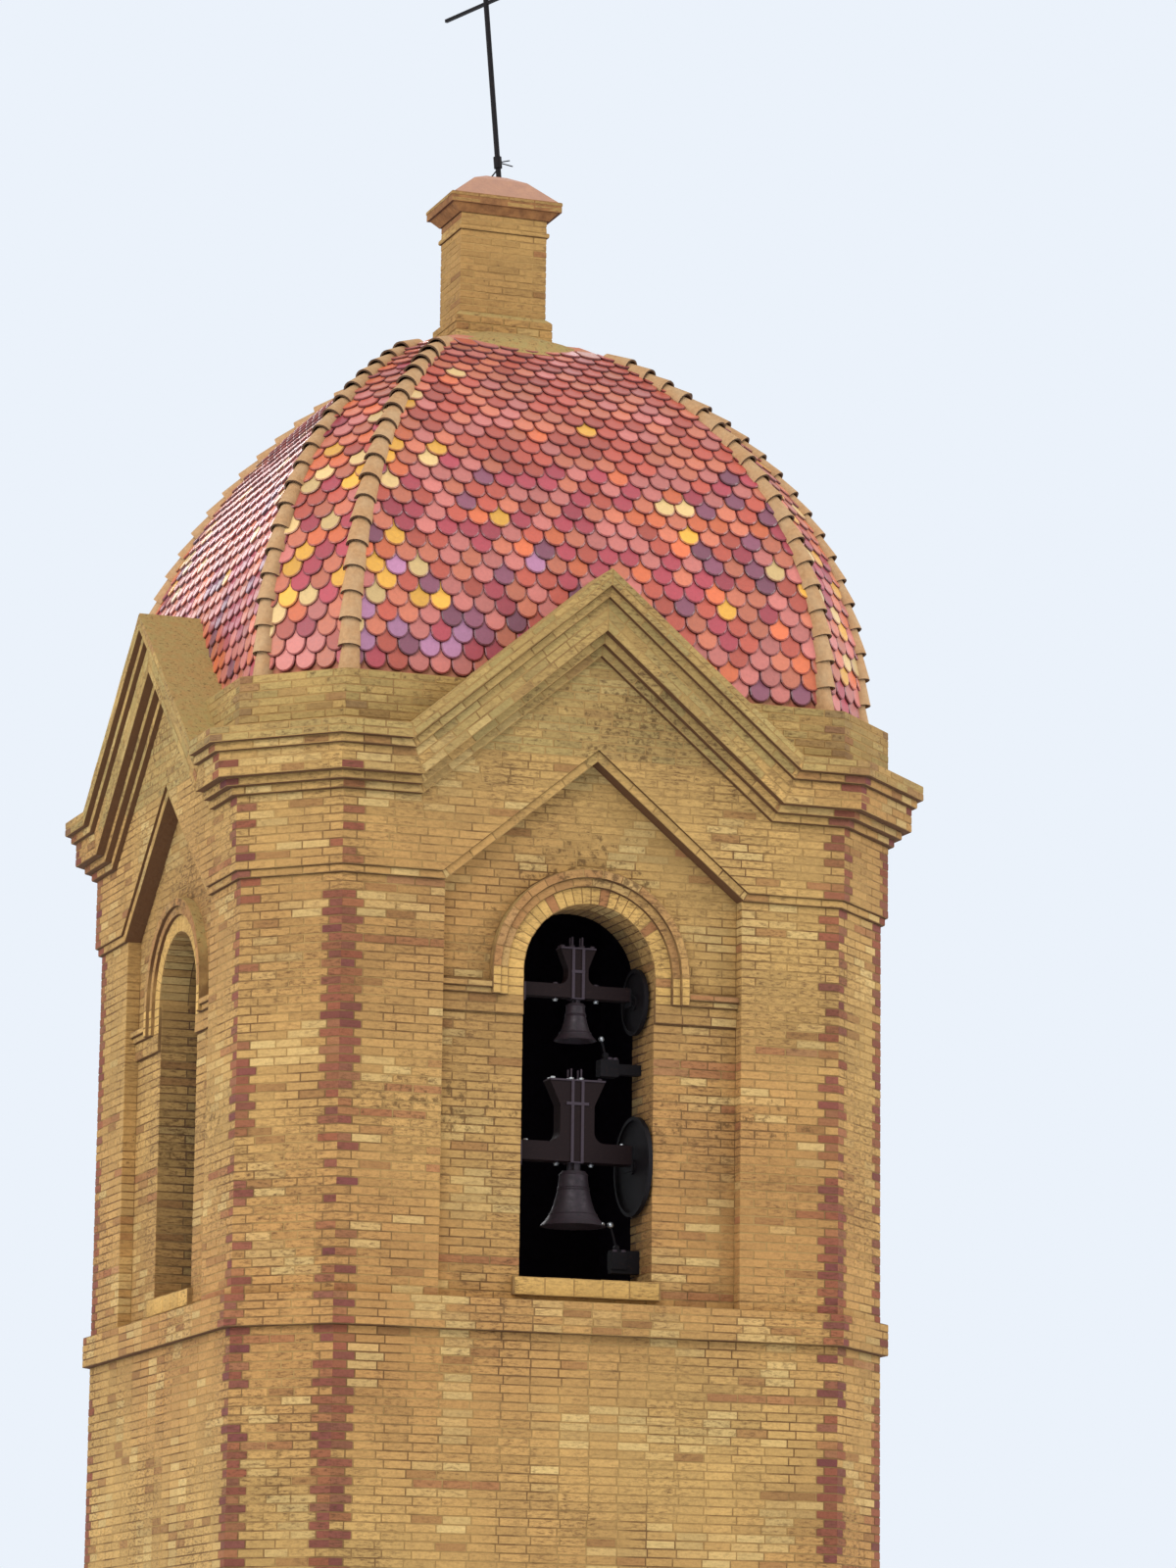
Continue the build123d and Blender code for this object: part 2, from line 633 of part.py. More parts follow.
# Bells, drawn at the origin with their axle along X and moved to their places
def bell_shape(mouth, height, wall, crown):
    """A cast bell hanging mouth down from its shoulder at z = 0, with a stub crown."""
    lip = [(mouth * out, -height * down) for out, down in BELL_LIP]
    waist = [(mouth * out, -height * down) for out, down in BELL_WAIST]
    lining = [(mouth * out - wall * walls, -height * down) for out, down, walls in BELL_LINING]
    with BuildPart() as bell:
        with BuildSketch(Plane.XZ):
            with BuildLine():
                ThreePointArc(*lip)
                ThreePointArc(*waist)
                Polyline(waist[-1], (mouth * BELL_SHOULDER, 0), (0, 0), (0, lining[0][1]),
                         *lining, lip[0])
            make_face()
        revolve(axis=Axis.Z)
        with BuildSketch(Plane.XY):
            for along, across in (CROWN_LOOP, CROWN_BLOCK):
                Rectangle(mouth * along, mouth * across)
        extrude(amount=crown)
    return bell.part


def yoke_shape(arm, low, high, waist, head, top, flare, foot, thick):
    """The tall counterweight yoke: level arms from low to high, a waist and a wider head."""
    with BuildPart() as yoke:
        with BuildSketch(Plane.XZ):
            with BuildLine():
                Polyline((-arm, low), (arm, low), (arm, high), (waist + foot, high))
                RadiusArc((waist + foot, high), (waist, high + foot), foot)
                Polyline((waist, high + foot), (waist, top - flare), (head, top), (-head, top),
                         (-waist, top - flare), (-waist, high + foot))
                RadiusArc((-waist, high + foot), (-waist - foot, high), foot)
                Polyline((-waist - foot, high), (-arm, high), (-arm, low))
            make_face()
        extrude(amount=thick / 2, both=True)
    return yoke.part


def gudgeon(hand, arm, high, thick):
    """An iron plate on the end of one arm, with the pin that turns in the bearing."""
    with BuildPart() as plate:
        with Locations((hand * (arm + GUDGEON_PLATE / 2), 0, (high - GUDGEON_DROP) / 2)):
            Box(GUDGEON_PLATE, thick, high + GUDGEON_DROP)
        with BuildSketch(Plane.YZ.offset(hand * arm)):
            Circle(AXLE_RADIUS)
        extrude(amount=hand * (OPENING_HALF - AXLE_END_GAP - arm))
    return plate.part


def strap_shape(arm, low, high, waist, head, top, tie, thick):
    """A yoke's iron: straps on both faces, head plate, rods, tie bolts and left gudgeon."""
    outer_y = thick / 2 + STRAP_THICK
    with BuildPart() as straps:
        for face in (-1, 1):
            middle_y = face * (thick / 2 + STRAP_THICK / 2)
            for across in (-STRAP_SPREAD, STRAP_SPREAD):
                with Locations((across, middle_y, (top + low) / 2)):
                    Box(STRAP_WIDTH, STRAP_THICK, top - low)
            with Locations((0, middle_y, top - CLAMP_DROP)):
                Box(2 * waist * CLAMP_HALF_SHARE, STRAP_THICK, STRAP_WIDTH)
        with Locations((0, 0, top + HEAD_PLATE / 2)):
            Box(2 * head, 2 * outer_y, HEAD_PLATE)
        with Locations((0, 0, low - STRAP_THICK / 2)):
            Box(2 * STRAP_SPREAD + STRAP_WIDTH, 2 * outer_y, STRAP_THICK)
        with Locations((0, 0, top + HEAD_PLATE)):
            with GridLocations(2 * STRAP_SPREAD, thick / 2, 2, 2):
                Cylinder(ROD_RADIUS, ROD_REACH, align=(Align.CENTER, Align.CENTER, Align.MIN))
                Cylinder(NUT_RADIUS, NUT_RADIUS,
                         align=(Align.CENTER, Align.CENTER, Align.MIN))
            with GridLocations(2 * head * HEAD_BOLT_SHARE, thick / 2, 2, 2):
                Cylinder(NUT_RADIUS, NUT_RADIUS,
                         align=(Align.CENTER, Align.CENTER, Align.MIN))
        with Locations((-tie, 0, low), (tie, 0, low)):
            Cylinder(NUT_RADIUS, TIE_BOLT, align=(Align.CENTER, Align.CENTER, Align.MAX))
        add(gudgeon(-1, arm, high, thick))
    return straps.part


wheel_middle = OPENING_HALF - BEARING_PLATE - JAMB_GAP - WHEEL_THICK / 2


def wheel_shape(radius, arm, high, thick):
    """The turning wheel with its hub, on the gudgeon at the yoke's right end."""
    rim_plane = Plane.YZ.offset(wheel_middle)
    with BuildPart() as wheel:
        with BuildSketch(rim_plane):
            Circle(radius)
            Circle(radius - WHEEL_RIM, mode=Mode.SUBTRACT)
        extrude(amount=WHEEL_THICK / 2, both=True)
        with BuildSketch(rim_plane):
            Circle(radius - WHEEL_RIM / 2)
        extrude(amount=WHEEL_WEB / 2, both=True)
        with BuildSketch(rim_plane):
            Circle(HUB_RADIUS)
        extrude(amount=WHEEL_THICK / 2, both=True)
        add(gudgeon(1, arm, high, thick))
    return wheel.part


def at_axle(shape, rise, drop=0.0):
    """Moves a shape from the origin to a bell's axle."""
    return shape.moved(Location((0, AXLE_Y, SILL_HEIGHT + rise - drop)))


def bearing(rise, hand):
    """A flanged plate on the jamb that carries one end of an axle."""
    with BuildPart() as plate:
        with BuildSketch(Plane.YZ.offset(hand * (OPENING_HALF - BEARING_PLATE))):
            with Locations((AXLE_Y, SILL_HEIGHT + rise)):
                RectangleRounded(2 * BEARING_HALF, 2 * BEARING_HALF, BEARING_ROUND)
                Circle(AXLE_RADIUS + AXLE_GAP, mode=Mode.SUBTRACT)
        extrude(amount=hand * BEARING_PLATE)
    return plate.part


large_low = LARGE_ARM_RAISE - LARGE_ARM_DEPTH / 2
large_high = LARGE_ARM_RAISE + LARGE_ARM_DEPTH / 2
large_bell = at_axle(bell_shape(LARGE_MOUTH, LARGE_HEIGHT, LARGE_MOUTH * BELL_WALL,
                                LARGE_HANG + large_low - STRAP_THICK), LARGE_AXLE, LARGE_HANG)
large_yoke = at_axle(yoke_shape(LARGE_ARM, large_low, large_high, LARGE_WAIST, LARGE_HEAD,
                                LARGE_YOKE_TOP, LARGE_HEAD_FLARE, LARGE_FOOT_FLARE,
                                LARGE_YOKE_THICK), LARGE_AXLE)
large_straps = at_axle(strap_shape(LARGE_ARM, large_low, large_high, LARGE_WAIST, LARGE_HEAD,
                                   LARGE_YOKE_TOP, LARGE_TIE, LARGE_YOKE_THICK), LARGE_AXLE)
large_wheel = at_axle(wheel_shape(LARGE_WHEEL, LARGE_ARM, large_high, LARGE_YOKE_THICK),
                      LARGE_AXLE)
small_low = SMALL_ARM_RAISE - SMALL_ARM_DEPTH / 2
small_high = SMALL_ARM_RAISE + SMALL_ARM_DEPTH / 2
small_bell = at_axle(bell_shape(SMALL_MOUTH, SMALL_HEIGHT, SMALL_MOUTH * BELL_WALL,
                                SMALL_HANG + small_low - STRAP_THICK), SMALL_AXLE, SMALL_HANG)
small_yoke = at_axle(yoke_shape(SMALL_ARM, small_low, small_high, SMALL_WAIST, SMALL_HEAD,
                                SMALL_YOKE_TOP, SMALL_HEAD_FLARE, SMALL_FOOT_FLARE,
                                SMALL_YOKE_THICK), SMALL_AXLE)
small_straps = at_axle(strap_shape(SMALL_ARM, small_low, small_high, SMALL_WAIST, SMALL_HEAD,
                                   SMALL_YOKE_TOP, SMALL_TIE, SMALL_YOKE_THICK), SMALL_AXLE)
small_wheel = at_axle(wheel_shape(SMALL_WHEEL, SMALL_ARM, small_high, SMALL_YOKE_THICK),
                      SMALL_AXLE)

with BuildPart() as bearings:
    for axle_rise in (LARGE_AXLE, SMALL_AXLE):
        add(bearing(axle_rise, -1))
        add(bearing(axle_rise, 1))
bearings.part.label = "bearings"


def hammer(mouth, ball, ball_rise, pivot):
    """A ball on a lever, hung by its eye on the unit's pin, resting one stroke off the bell."""
    ball_x = mouth + HAMMER_GAP + HAMMER_STROKE + ball
    reach = Vector(ball_x - pivot[0], 0, ball_rise - pivot[1])
    centre = Vector(pivot[0], AXLE_Y, SILL_HEIGHT + pivot[1])
    with BuildPart() as striker:
        with BuildSketch(Plane(origin=centre, z_dir=reach)):
            Circle(HAMMER_ARM)
        extrude(amount=reach.length)
        with Locations(centre + reach):
            Sphere(ball)
        with BuildSketch(Plane(origin=centre, x_dir=(1, 0, 0), z_dir=(0, -1, 0))):
            Circle(HAMMER_EYE)
        extrude(amount=EYE_WIDTH / 2, both=True)
        with BuildSketch(Plane(origin=centre, x_dir=(1, 0, 0), z_dir=(0, -1, 0))):
            Circle(HAMMER_PIN + PIN_GAP)
        extrude(amount=EYE_WIDTH, both=True, mode=Mode.SUBTRACT)
    return striker.part


def hammer_unit(pivot, housing, bracket):
    """The housing that works a hammer, with two ears and a pin, on a bracket on the jamb."""
    left, right, low, high = housing
    ear_inner = EYE_WIDTH / 2 + EAR_GAP
    ear_outer = ear_inner + EAR
    front = Plane(origin=(0, AXLE_Y, SILL_HEIGHT), x_dir=(1, 0, 0), z_dir=(0, -1, 0))
    with BuildPart() as unit:
        with BuildSketch(front):
            with Locations(((left + right) / 2, (low + high) / 2)):
                Rectangle(right - left, high - low)
        extrude(amount=UNIT_HALF, both=True)
        fillet(unit.edges().filter_by(Axis.Y), HOUSING_ROUND)
        with BuildSketch(front):
            Polygon((left, bracket[0]), (OPENING_HALF, bracket[0]), (OPENING_HALF, bracket[1]),
                    (left, bracket[1]), align=None)
        extrude(amount=BRACKET_HALF, both=True)
        for hand in (-1, 1):
            with BuildSketch(front.offset(hand * ear_inner)):
                with Locations(pivot):
                    Circle(HAMMER_EYE)
                with Locations((pivot[0], (pivot[1] + high - EAR) / 2)):
                    Rectangle(2 * HAMMER_EYE, pivot[1] - high + EAR)
            extrude(amount=hand * EAR)
        with BuildSketch(front):
            with Locations(pivot):
                Circle(HAMMER_PIN)
        extrude(amount=ear_outer, both=True)
    return unit.part


large_hammer = hammer(LARGE_MOUTH, LARGE_BALL, LARGE_BALL_RISE, LARGE_PIVOT)
small_hammer = hammer(SMALL_MOUTH, SMALL_BALL, SMALL_BALL_RISE, SMALL_PIVOT)

with BuildPart() as hammer_units:
    add(hammer_unit(LARGE_PIVOT, LARGE_HOUSING, LARGE_BRACKET))
    add(hammer_unit(SMALL_PIVOT, SMALL_HOUSING, SMALL_BRACKET))
hammer_units.part.label = "hammer_units"


def export(shape, name):
    """Writes one named piece."""
    shape.label = name
    export_step(shape, "parts/" + name + ".step")


for piece in (plinth, lower_shaft, base_band, belfry_floor, imposts, window_sills,
              string_course, frieze, cornice, gable_coping, parapet, dome_shell, dome_ribs,
              dome_collar, pedestal_shaft, pedestal_cap, iron_cross, bearings, hammer_units):
    export(piece.part, piece.part.label)
for corner, shape in corner_piers.items():
    export(shape, "corner_pier_" + corner)
for side in SIDES:
    export(arch_walls[side], "arch_wall_" + side)
    export(archivolts[side], "archivolt_" + side)
for name, shape in (("large_bell", large_bell), ("large_yoke", large_yoke),
                    ("large_straps", large_straps), ("large_wheel", large_wheel),
                    ("small_bell", small_bell), ("small_yoke", small_yoke),
                    ("small_straps", small_straps), ("small_wheel", small_wheel),
                    ("large_hammer", large_hammer), ("small_hammer", small_hammer)):
    export(shape, name)
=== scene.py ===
"""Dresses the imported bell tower: laid bricks, voussoirs, glazed scale tiles, hip tiles and bells.

It is laid out as an add-on and run as a script. Metres, +Z up, front face towards -Y.
"""

import math
import random

import bmesh
import bpy
from mathutils import Matrix, Vector, noise


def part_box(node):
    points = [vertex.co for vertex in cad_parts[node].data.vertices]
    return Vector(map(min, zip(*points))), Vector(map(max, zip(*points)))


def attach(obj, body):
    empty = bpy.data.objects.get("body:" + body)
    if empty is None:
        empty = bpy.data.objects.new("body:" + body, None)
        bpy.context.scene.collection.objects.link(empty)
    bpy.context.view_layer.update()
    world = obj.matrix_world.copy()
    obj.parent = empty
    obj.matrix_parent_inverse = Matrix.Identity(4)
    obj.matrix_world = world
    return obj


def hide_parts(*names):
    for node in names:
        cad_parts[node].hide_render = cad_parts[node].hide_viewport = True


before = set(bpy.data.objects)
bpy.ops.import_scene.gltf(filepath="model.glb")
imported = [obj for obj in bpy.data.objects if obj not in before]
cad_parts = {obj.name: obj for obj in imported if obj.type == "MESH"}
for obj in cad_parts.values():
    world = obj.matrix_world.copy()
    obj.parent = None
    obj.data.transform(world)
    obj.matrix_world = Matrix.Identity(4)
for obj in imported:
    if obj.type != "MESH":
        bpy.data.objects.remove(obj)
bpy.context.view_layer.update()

bl_info = {
    "name": "Brick Bell Tower",
    "version": (1, 0, 0),
    "blender": (4, 5, 0),
    "location": "View3D > Sidebar > Bell Tower",
    "description": "Lays the brickwork, roof tiles and bells of a brick bell tower",
    "category": "Object",
}

UP = Vector((0, 0, 1))
SIDE_TURN = math.radians(45)                    # from one side of the tower to the next
CORNER_TAN = math.tan(SIDE_TURN / 2)
WIDE_SIDES = (0, 2, 4, 6)
NARROW_SIDES = (1, 3, 5, 7)
NEAR = 0.001                                    # closer than this counts as touching
SLIVER = 0.012                                  # a brick cut thinner than this is left out
WHITE = (1, 1, 1)

# Sizes and places of the walls, most of them read from the frame
HALF_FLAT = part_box("lower_shaft")[1].x          # axis to the pier faces
FACE_HALF = max(v.co.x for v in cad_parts["lower_shaft"].data.vertices
                if v.co.y < NEAR - HALF_FLAT)   # half the width of a wide side
PLINTH_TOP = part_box("plinth")[1].z
PLINTH_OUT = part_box("plinth")[1].x - HALF_FLAT
PLINTH_CHAMFER = 0.042
BAND_LOW, BAND_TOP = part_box("base_band")[0].z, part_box("base_band")[1].z
BAND_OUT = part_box("base_band")[1].x - HALF_FLAT
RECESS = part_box("arch_wall_front")[0].y * -1    # axis to the face of the arched walls
WALL_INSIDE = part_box("belfry_floor")[1].x
PIER_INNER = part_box("arch_wall_front")[1].x
PIER_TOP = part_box("corner_pier_front_right")[1].z
SILL_LOW, SILL_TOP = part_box("window_sills")[0].z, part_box("window_sills")[1].z
SILL_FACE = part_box("window_sills")[1].x
SILL_HALF = 0.572
SILL_SEAM = RECESS - 0.19                       # where the two rows of a sill's bricks meet
PEAK_HALF = 0.08                                # narrower courses under a gable are left out
OPENING_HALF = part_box("bearings")[1].x
SPRINGING = SILL_TOP + 2.315
RING_EDGES = (OPENING_HALF, 0.66, 0.725, 0.79)  # radii of the voussoirs and two mouldings
RING_FACES = (RECESS + 0.022, RECESS + 0.049, RECESS + 0.076)
RING_COUNTS = (26, 14, 15)                      # bricks in each half ring
IMPOST_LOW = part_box("imposts")[0].z
IMPOST_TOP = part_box("imposts")[1].z
IMPOST_STEPS = ((0, 0.07, 0.024), (0.07, 0.14, 0.024), (0.14, 0.185, 0.048),
                (0.185, 0.23, 0.072))           # low, high, out of each impost course

# The courses that climb over the gables: out, height over the corners, x where the climb
# starts, height at the apex
STRING = (0.030, 8.635, 1.195, 9.621)
FRIEZE = (0.053, 8.692, 1.228, 9.709)
BED_LOWER = (0.097, 9.259, 1.407, 10.430)
BED_UPPER = (0.152, 9.319, 1.428, 10.515)
FASCIA = (0.222, 9.379, 1.448, 10.601)
FILLET = (0.262, 9.570, 1.519, 10.855)
COPING = (0.308, 9.631, 1.557, 10.937)
COPING_TOP = (0.308, 9.745, 1.575, 11.068)
PARAPET_OUT = 0.053
PARAPET_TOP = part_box("parapet")[1].z
PARAPET_NEAR = 1.2                              # nearer the axis only the pedestal stands
CAP_FOOT = 14.6                                 # the bricks above this height are the cap's
DAMP_BAND = 6.95                                # height of the damp band round the belfry
PAST_MITRE, PAST_APEX = 0.20, 0.15              # raked courses run on by this and are cut

# The dome's curve
DOME_RADIUS = 3.515
DOME_BACK = 1.070                               # arc centre behind the axis
DOME_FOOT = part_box("dome_shell")[0].z
DOME_SPRING = SILL_TOP + 4.676
HIP_SLANT = 0.79                                # half width of a wide gore over its reach
HIP_REACH = math.hypot(1, HIP_SLANT)
NARROW_STRETCH = (1 + HIP_SLANT) / math.sqrt(2)
NARROW_SLANT = (1 - HIP_SLANT) / (1 + HIP_SLANT)
TILE_TOP = 0.97                                 # reach where the tiles meet the mortar mound
TILE_LIFT = 0.045                               # a tile's foot lies this much proud of its head
HIP_GAP = 0.03                                  # tiles stop this far short of the hips

AXLE_Y = -2.2                                   # of the bells' axles and the hammers
# The bells: name, rise of the axle, mouth radius, height, axle to shoulder, head's half
# width, yoke's top, yoke's thickness, tie bolts, underside and top of the arms
BELLS = (("large", 0.907, 0.252, 0.415, 0.062, 0.222, 0.618, 0.150, 0.140, 0.0055, 0.1505),
         ("small", 2.165, 0.165, 0.285, 0.040, 0.142, 0.372, 0.110, 0.165, -0.002, 0.098))
RING_HALF, RING_OUT = 0.006, 0.005              # half the width of a bell's ring, its height
OUTER_NUT = 0.388                               # bolts at the ends of the large bell's arms
WASHER = (0.023, 0.004)                         # radius and thickness
NUT = (0.0185, 0.014)
# The hammers: ball across, rise and radius, then the top of the housing and its two bolts
HAMMERS = (("large", 0.301, 0.455, 0.024, 0.250, (0.325, 0.395)),
           ("small", 0.212, 1.868, 0.022, 1.708, (0.271, 0.315)))

CAMERA_PLACE = (-13.734, -40.161, 1.632)
CAMERA_TURN = (19.996, 11.065, 0.691)           # degrees of yaw, pitch and roll
# The lamps: name, place, width in metres and power in watts
LAMPS = (("key_light", (-17, -26, 27), 16, 4700), ("left_light", (-28, -3, 18), 14, 3300),
         ("right_light", (24, -14, 20), 14, 4300), ("back_light", (4, 30, 24), 16, 3600))
LAMP_AIM = Vector((0, 0, 9))
SKY, SKY_STRENGTH = (0.90, 0.95, 1.0), 0.70
FLOOR_RADIUS = 60


def linear(code):
    """The linear colour of an sRGB hex code such as #C49A5E."""
    channels = [int(code[i:i + 2], 16) / 255 for i in (1, 3, 5)]
    return tuple(c / 12.92 if c <= 0.04045 else ((c + 0.055) / 1.055) ** 2.4
                 for c in channels)


def blend(under, over, share):
    """A colour between two colours."""
    return [a + (b - a) * share for a, b in zip(under, over)]


def hue(name, description, code):
    """A colour property."""
    return bpy.props.FloatVectorProperty(name=name, description=description, subtype="COLOR",
                                         size=3, min=0, max=1, default=linear(code))


def size(name, description, default):
    """A length property in metres."""
    return bpy.props.FloatProperty(name=name, description=description, default=default,
                                   min=0, subtype="DISTANCE", unit="LENGTH")


class BrickworkSettings(bpy.types.PropertyGroup):
    """Sizes and colours of the brickwork."""
    course: size("Course", "Height of a brick with its bed joint", 0.065)
    length: size("Length", "Length of a brick with its head joint", 0.235)
    joint: size("Joint", "Thickness of the mortar joints", 0.010)
    proud: size("Proud", "How far the brick faces stand out of the mortar", 0.003)
    arris: size("Arris", "Width of a brick's worn edge", 0.003)
    ochre: hue("Ochre", "Most of the bricks", "#C49C5E")
    tan: hue("Tan", "Slightly redder bricks", "#B98A52")
    pale: hue("Pale", "Yellow bricks", "#D5B678")
    brown: hue("Brown", "Overburnt bricks", "#9A6C42")
    red: hue("Red", "Bricks of the quoins", "#9A5A40")
    plum: hue("Plum", "Darker bricks among the quoins", "#7A4440")
    arch: hue("Arch", "Yellow bricks of the arch rings", "#E0B268")
    mortar: hue("Mortar", "Lime mortar in the joints", "#B08C56")
    # Grime: dirt in the joints, and painted shade under ledges and on the cap's undersides
    grime_and_shade: hue("Grime", "Dirt in open joints and under ledges", "#553425")
    lichen: hue("Lichen", "Dull yellow lichen on weathered tops", "#AA945C")
    moss: hue("Moss", "Dark brown growth on damp brick", "#5A4026")


class RoofSettings(bpy.types.PropertyGroup):
    """Sizes and colours of the dome's tiles."""
    width: size("Tile width", "Width of a scale tile", 0.166)
    length: size("Tile length", "Whole length of a scale tile", 0.250)
    pitch: size("Tile pitch", "Centre to centre of the tiles in a row", 0.173)
    exposure: size("Exposure", "Length of a tile left uncovered", 0.124)
    thickness: size("Thickness", "Thickness of a scale tile", 0.026)
    hip_exposure: size("Hip exposure", "Length of a hip tile left uncovered", 0.205)
    hip_radius: size("Hip radius", "Outer radius of a hip tile's wide end", 0.088)
    brick_red: hue("Brick red", "Most of the upper tiles", "#B4503C")
    coral: hue("Coral", "Orange-red tiles", "#C66E50")
    rose: hue("Rose", "Pink tiles", "#C46F64")
    magenta: hue("Magenta", "Deep pink tiles", "#A83E48")
    orange: hue("Orange", "Orange tiles", "#D46A3E")
    yellow: hue("Yellow", "Yellow tiles", "#E2A53A")
    cream: hue("Cream", "Pale yellow tiles", "#DCB878")
    purple: hue("Purple", "Purple tiles", "#84485A")
    lilac: hue("Lilac", "Lilac tiles", "#B57A9A")
    clay: hue("Clay", "Unglazed hip tiles", "#BF9468")
    terracotta: hue("Terracotta", "Bare clay under the tiles", "#C67A62")
    cap: hue("Cap", "Weathered plaster on the pedestal's cap", "#C99C88")


class BellSettings(bpy.types.PropertyGroup):
    """Colours of the bells and the ironwork."""
    bronze: hue("Bronze", "Dark bell bronze", "#33272C")
    timber: hue("Yoke", "Dark painted yokes", "#1C1010")
    iron: hue("Iron", "Painted and rusted iron", "#131012")
    strap: hue("Strap", "Bare steel of the yokes' straps", "#42383E")
    # Zinc: the nuts that catch the light, the hammer balls and the painted highlight on the large
    # bell's lip
    zinc: hue("Zinc", "Bright bolts", "#C8CACA")


class StageSettings(bpy.types.PropertyGroup):
    """The camera, the light and the backdrop."""
    focal: bpy.props.FloatProperty(name="Focal length", description="Camera lens in millimetres",
                                   default=123.45, min=1)
    backdrop: hue("Backdrop", "Colour of the floor and the background", "#EBF2FB")


class NodeMixer:
    """Adds nodes to the tree of a material or of the world."""

    def __init__(self, holder):
        holder.use_nodes = True
        self.tree = holder.node_tree

    def link(self, value, socket):
        """Gives a socket its value, or links another socket to it."""
        if isinstance(value, bpy.types.NodeSocket):
            self.tree.links.new(value, socket)
        else:
            socket.default_value = value

    def node(self, kind, inputs=None, **settings):
        """One shader node with its settings; each input is a value or a socket to link."""
        made = self.tree.nodes.new("ShaderNode" + kind)
        for name, value in settings.items():
            setattr(made, name, value)
        for socket, value in (inputs or {}).items():
            self.link(value, made.inputs[socket])
        return made

    def maths(self, operation, first, second=0.0):
        """One step of arithmetic on sockets or numbers."""
        return self.node("Math", {0: first, 1: second}, operation=operation).outputs[0]

    def vector(self, operation, first, second=(0, 0, 0)):
        """One step of arithmetic on vectors."""
        made = self.node("VectorMath", {0: first, 1: second}, operation=operation)
        return made.outputs["Value" if operation in ("DISTANCE", "DOT_PRODUCT") else "Vector"]

    def split(self, vector):
        """The X, Y and Z of a vector."""
        return self.node("SeparateXYZ", {0: vector}).outputs

    def spread(self, value, low, high, start=0.0, end=1.0):
        """Start where the value is low, end where it is high, and evenly between them."""
        return self.node("MapRange", {"Value": value, "From Min": low, "From Max": high,
                                      "To Min": start, "To Max": end}).outputs["Result"]

    def mix(self, share, under, over, blend_type="MIX"):
        """Lays one colour over another."""
        made = self.node("Mix", {0: share}, data_type="RGBA", blend_type=blend_type)
        for number, colour in ((6, under), (7, over)):
            plain = not isinstance(colour, bpy.types.NodeSocket)
            self.link(rgba(colour) if plain else colour, made.inputs[number])
        return made.outputs[2]


class Finish(NodeMixer):
    """A material that is being mixed, over the object's own coordinates."""

    def __init__(self, name, rough, specular, **settings):
        super().__init__(bpy.data.materials.new(name))
        self.shader = self.tree.nodes["Principled BSDF"]
        settings.update(Roughness=rough, Specular_IOR_Level=specular)
        for socket, value in settings.items():
            self.link(value, self.shader.inputs[socket.replace("_", " ")])
        self.place = self.node("TexCoord").outputs["Object"]
        self.facing = self.node("NewGeometry").outputs["Normal"]

    def tilt(self, start, end, most=1.0):
        """From 0 to most as the face's upward slope goes from start to end."""
        return self.spread(self.split(self.facing)["Z"], start, end, 0.0, most)

    def cells(self, scale, detail, rough, place=None):
        """Noise of so many cells a metre."""
        place = self.place if place is None else place
        return self.node("TexNoise", {"Vector": place, "Scale": scale, "Detail": detail,
                                      "Roughness": rough}).outputs["Fac"]

    def speckle(self, scale, low=0.3, high=0.7, detail=4, rough=0.6, place=None):
        """Noise spread from 0 at low to 1 at high."""
        return self.spread(self.cells(scale, detail, rough, place), low, high)

    def shade(self, share, colour, dark, where):
        """Darkens a colour by a share where the noise is low."""
        return self.mix(share, colour, self.mix(where, dark, WHITE), "MULTIPLY")

    def finish(self, colour, height=None, depth=0.0):
        """Sets the colour, and raises the surface by depth metres where the height is 1."""
        self.link(colour, self.shader.inputs["Base Color"])
        if height is not None:
            made = self.node("Bump", {"Height": height, "Distance": depth})
            self.link(made.outputs["Normal"], self.shader.inputs["Normal"])


def rgba(colour):
    """A colour socket's value."""
    return (colour[0], colour[1], colour[2], 1)


def finish_piece(mesh, name, finish, body="tower", smooth=None):
    """Turns a bmesh into a piece that rides on a body, with one of the finishes by name.

    Its faces are shaded smooth across edges that turn by fewer than smooth degrees.
    """
    data = bpy.data.meshes.new(name)
    mesh.to_mesh(data)
    mesh.free()
    data.materials.append(bpy.data.materials[finish])
    piece = bpy.data.objects.new(name, data)
    bpy.context.scene.collection.objects.link(piece)
    if smooth is not None:
        data.shade_smooth()
        data.set_sharp_from_angle(angle=math.radians(smooth))
    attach(piece, body)
    return piece


def axes_at(run, rise, out, place):
    """Axes that run, rise and face out of a plane, from a place on it."""
    axes = Matrix((run, rise, out)).transposed().to_4x4()
    axes.translation = place
    return axes


def plane_axes(out, distance):
    """Axes on an upright plane: run to the right, rise up, out of the plane."""
    return axes_at(UP.cross(out), UP, out, out * distance)


def side_out(side):
    """The way that one of the eight sides faces."""
    turn = SIDE_TURN * side
    return Vector((math.sin(turn), -math.cos(turn), 0))


def side_axes(side, out=0.0, distance=None):
    """The axes of one side, its face moved outwards by out, or at a distance from the axis."""
    if distance is None:
        distance = (HALF_FLAT + FACE_HALF) / math.sqrt(2) if side % 2 else HALF_FLAT
    return plane_axes(side_out(side), distance + out)


def side_half(side, out=0.0):
    """Half the width of a side whose face is moved outwards by out."""
    half = (HALF_FLAT - FACE_HALF) / math.sqrt(2) if side % 2 else FACE_HALF
    return half + out * CORNER_TAN


def reveal_axes(side, hand, edge):
    """The axes of the face that looks back at a wide side's middle from hand * edge."""
    return plane_axes(UP.cross(side_out(side)) * -hand, -edge)


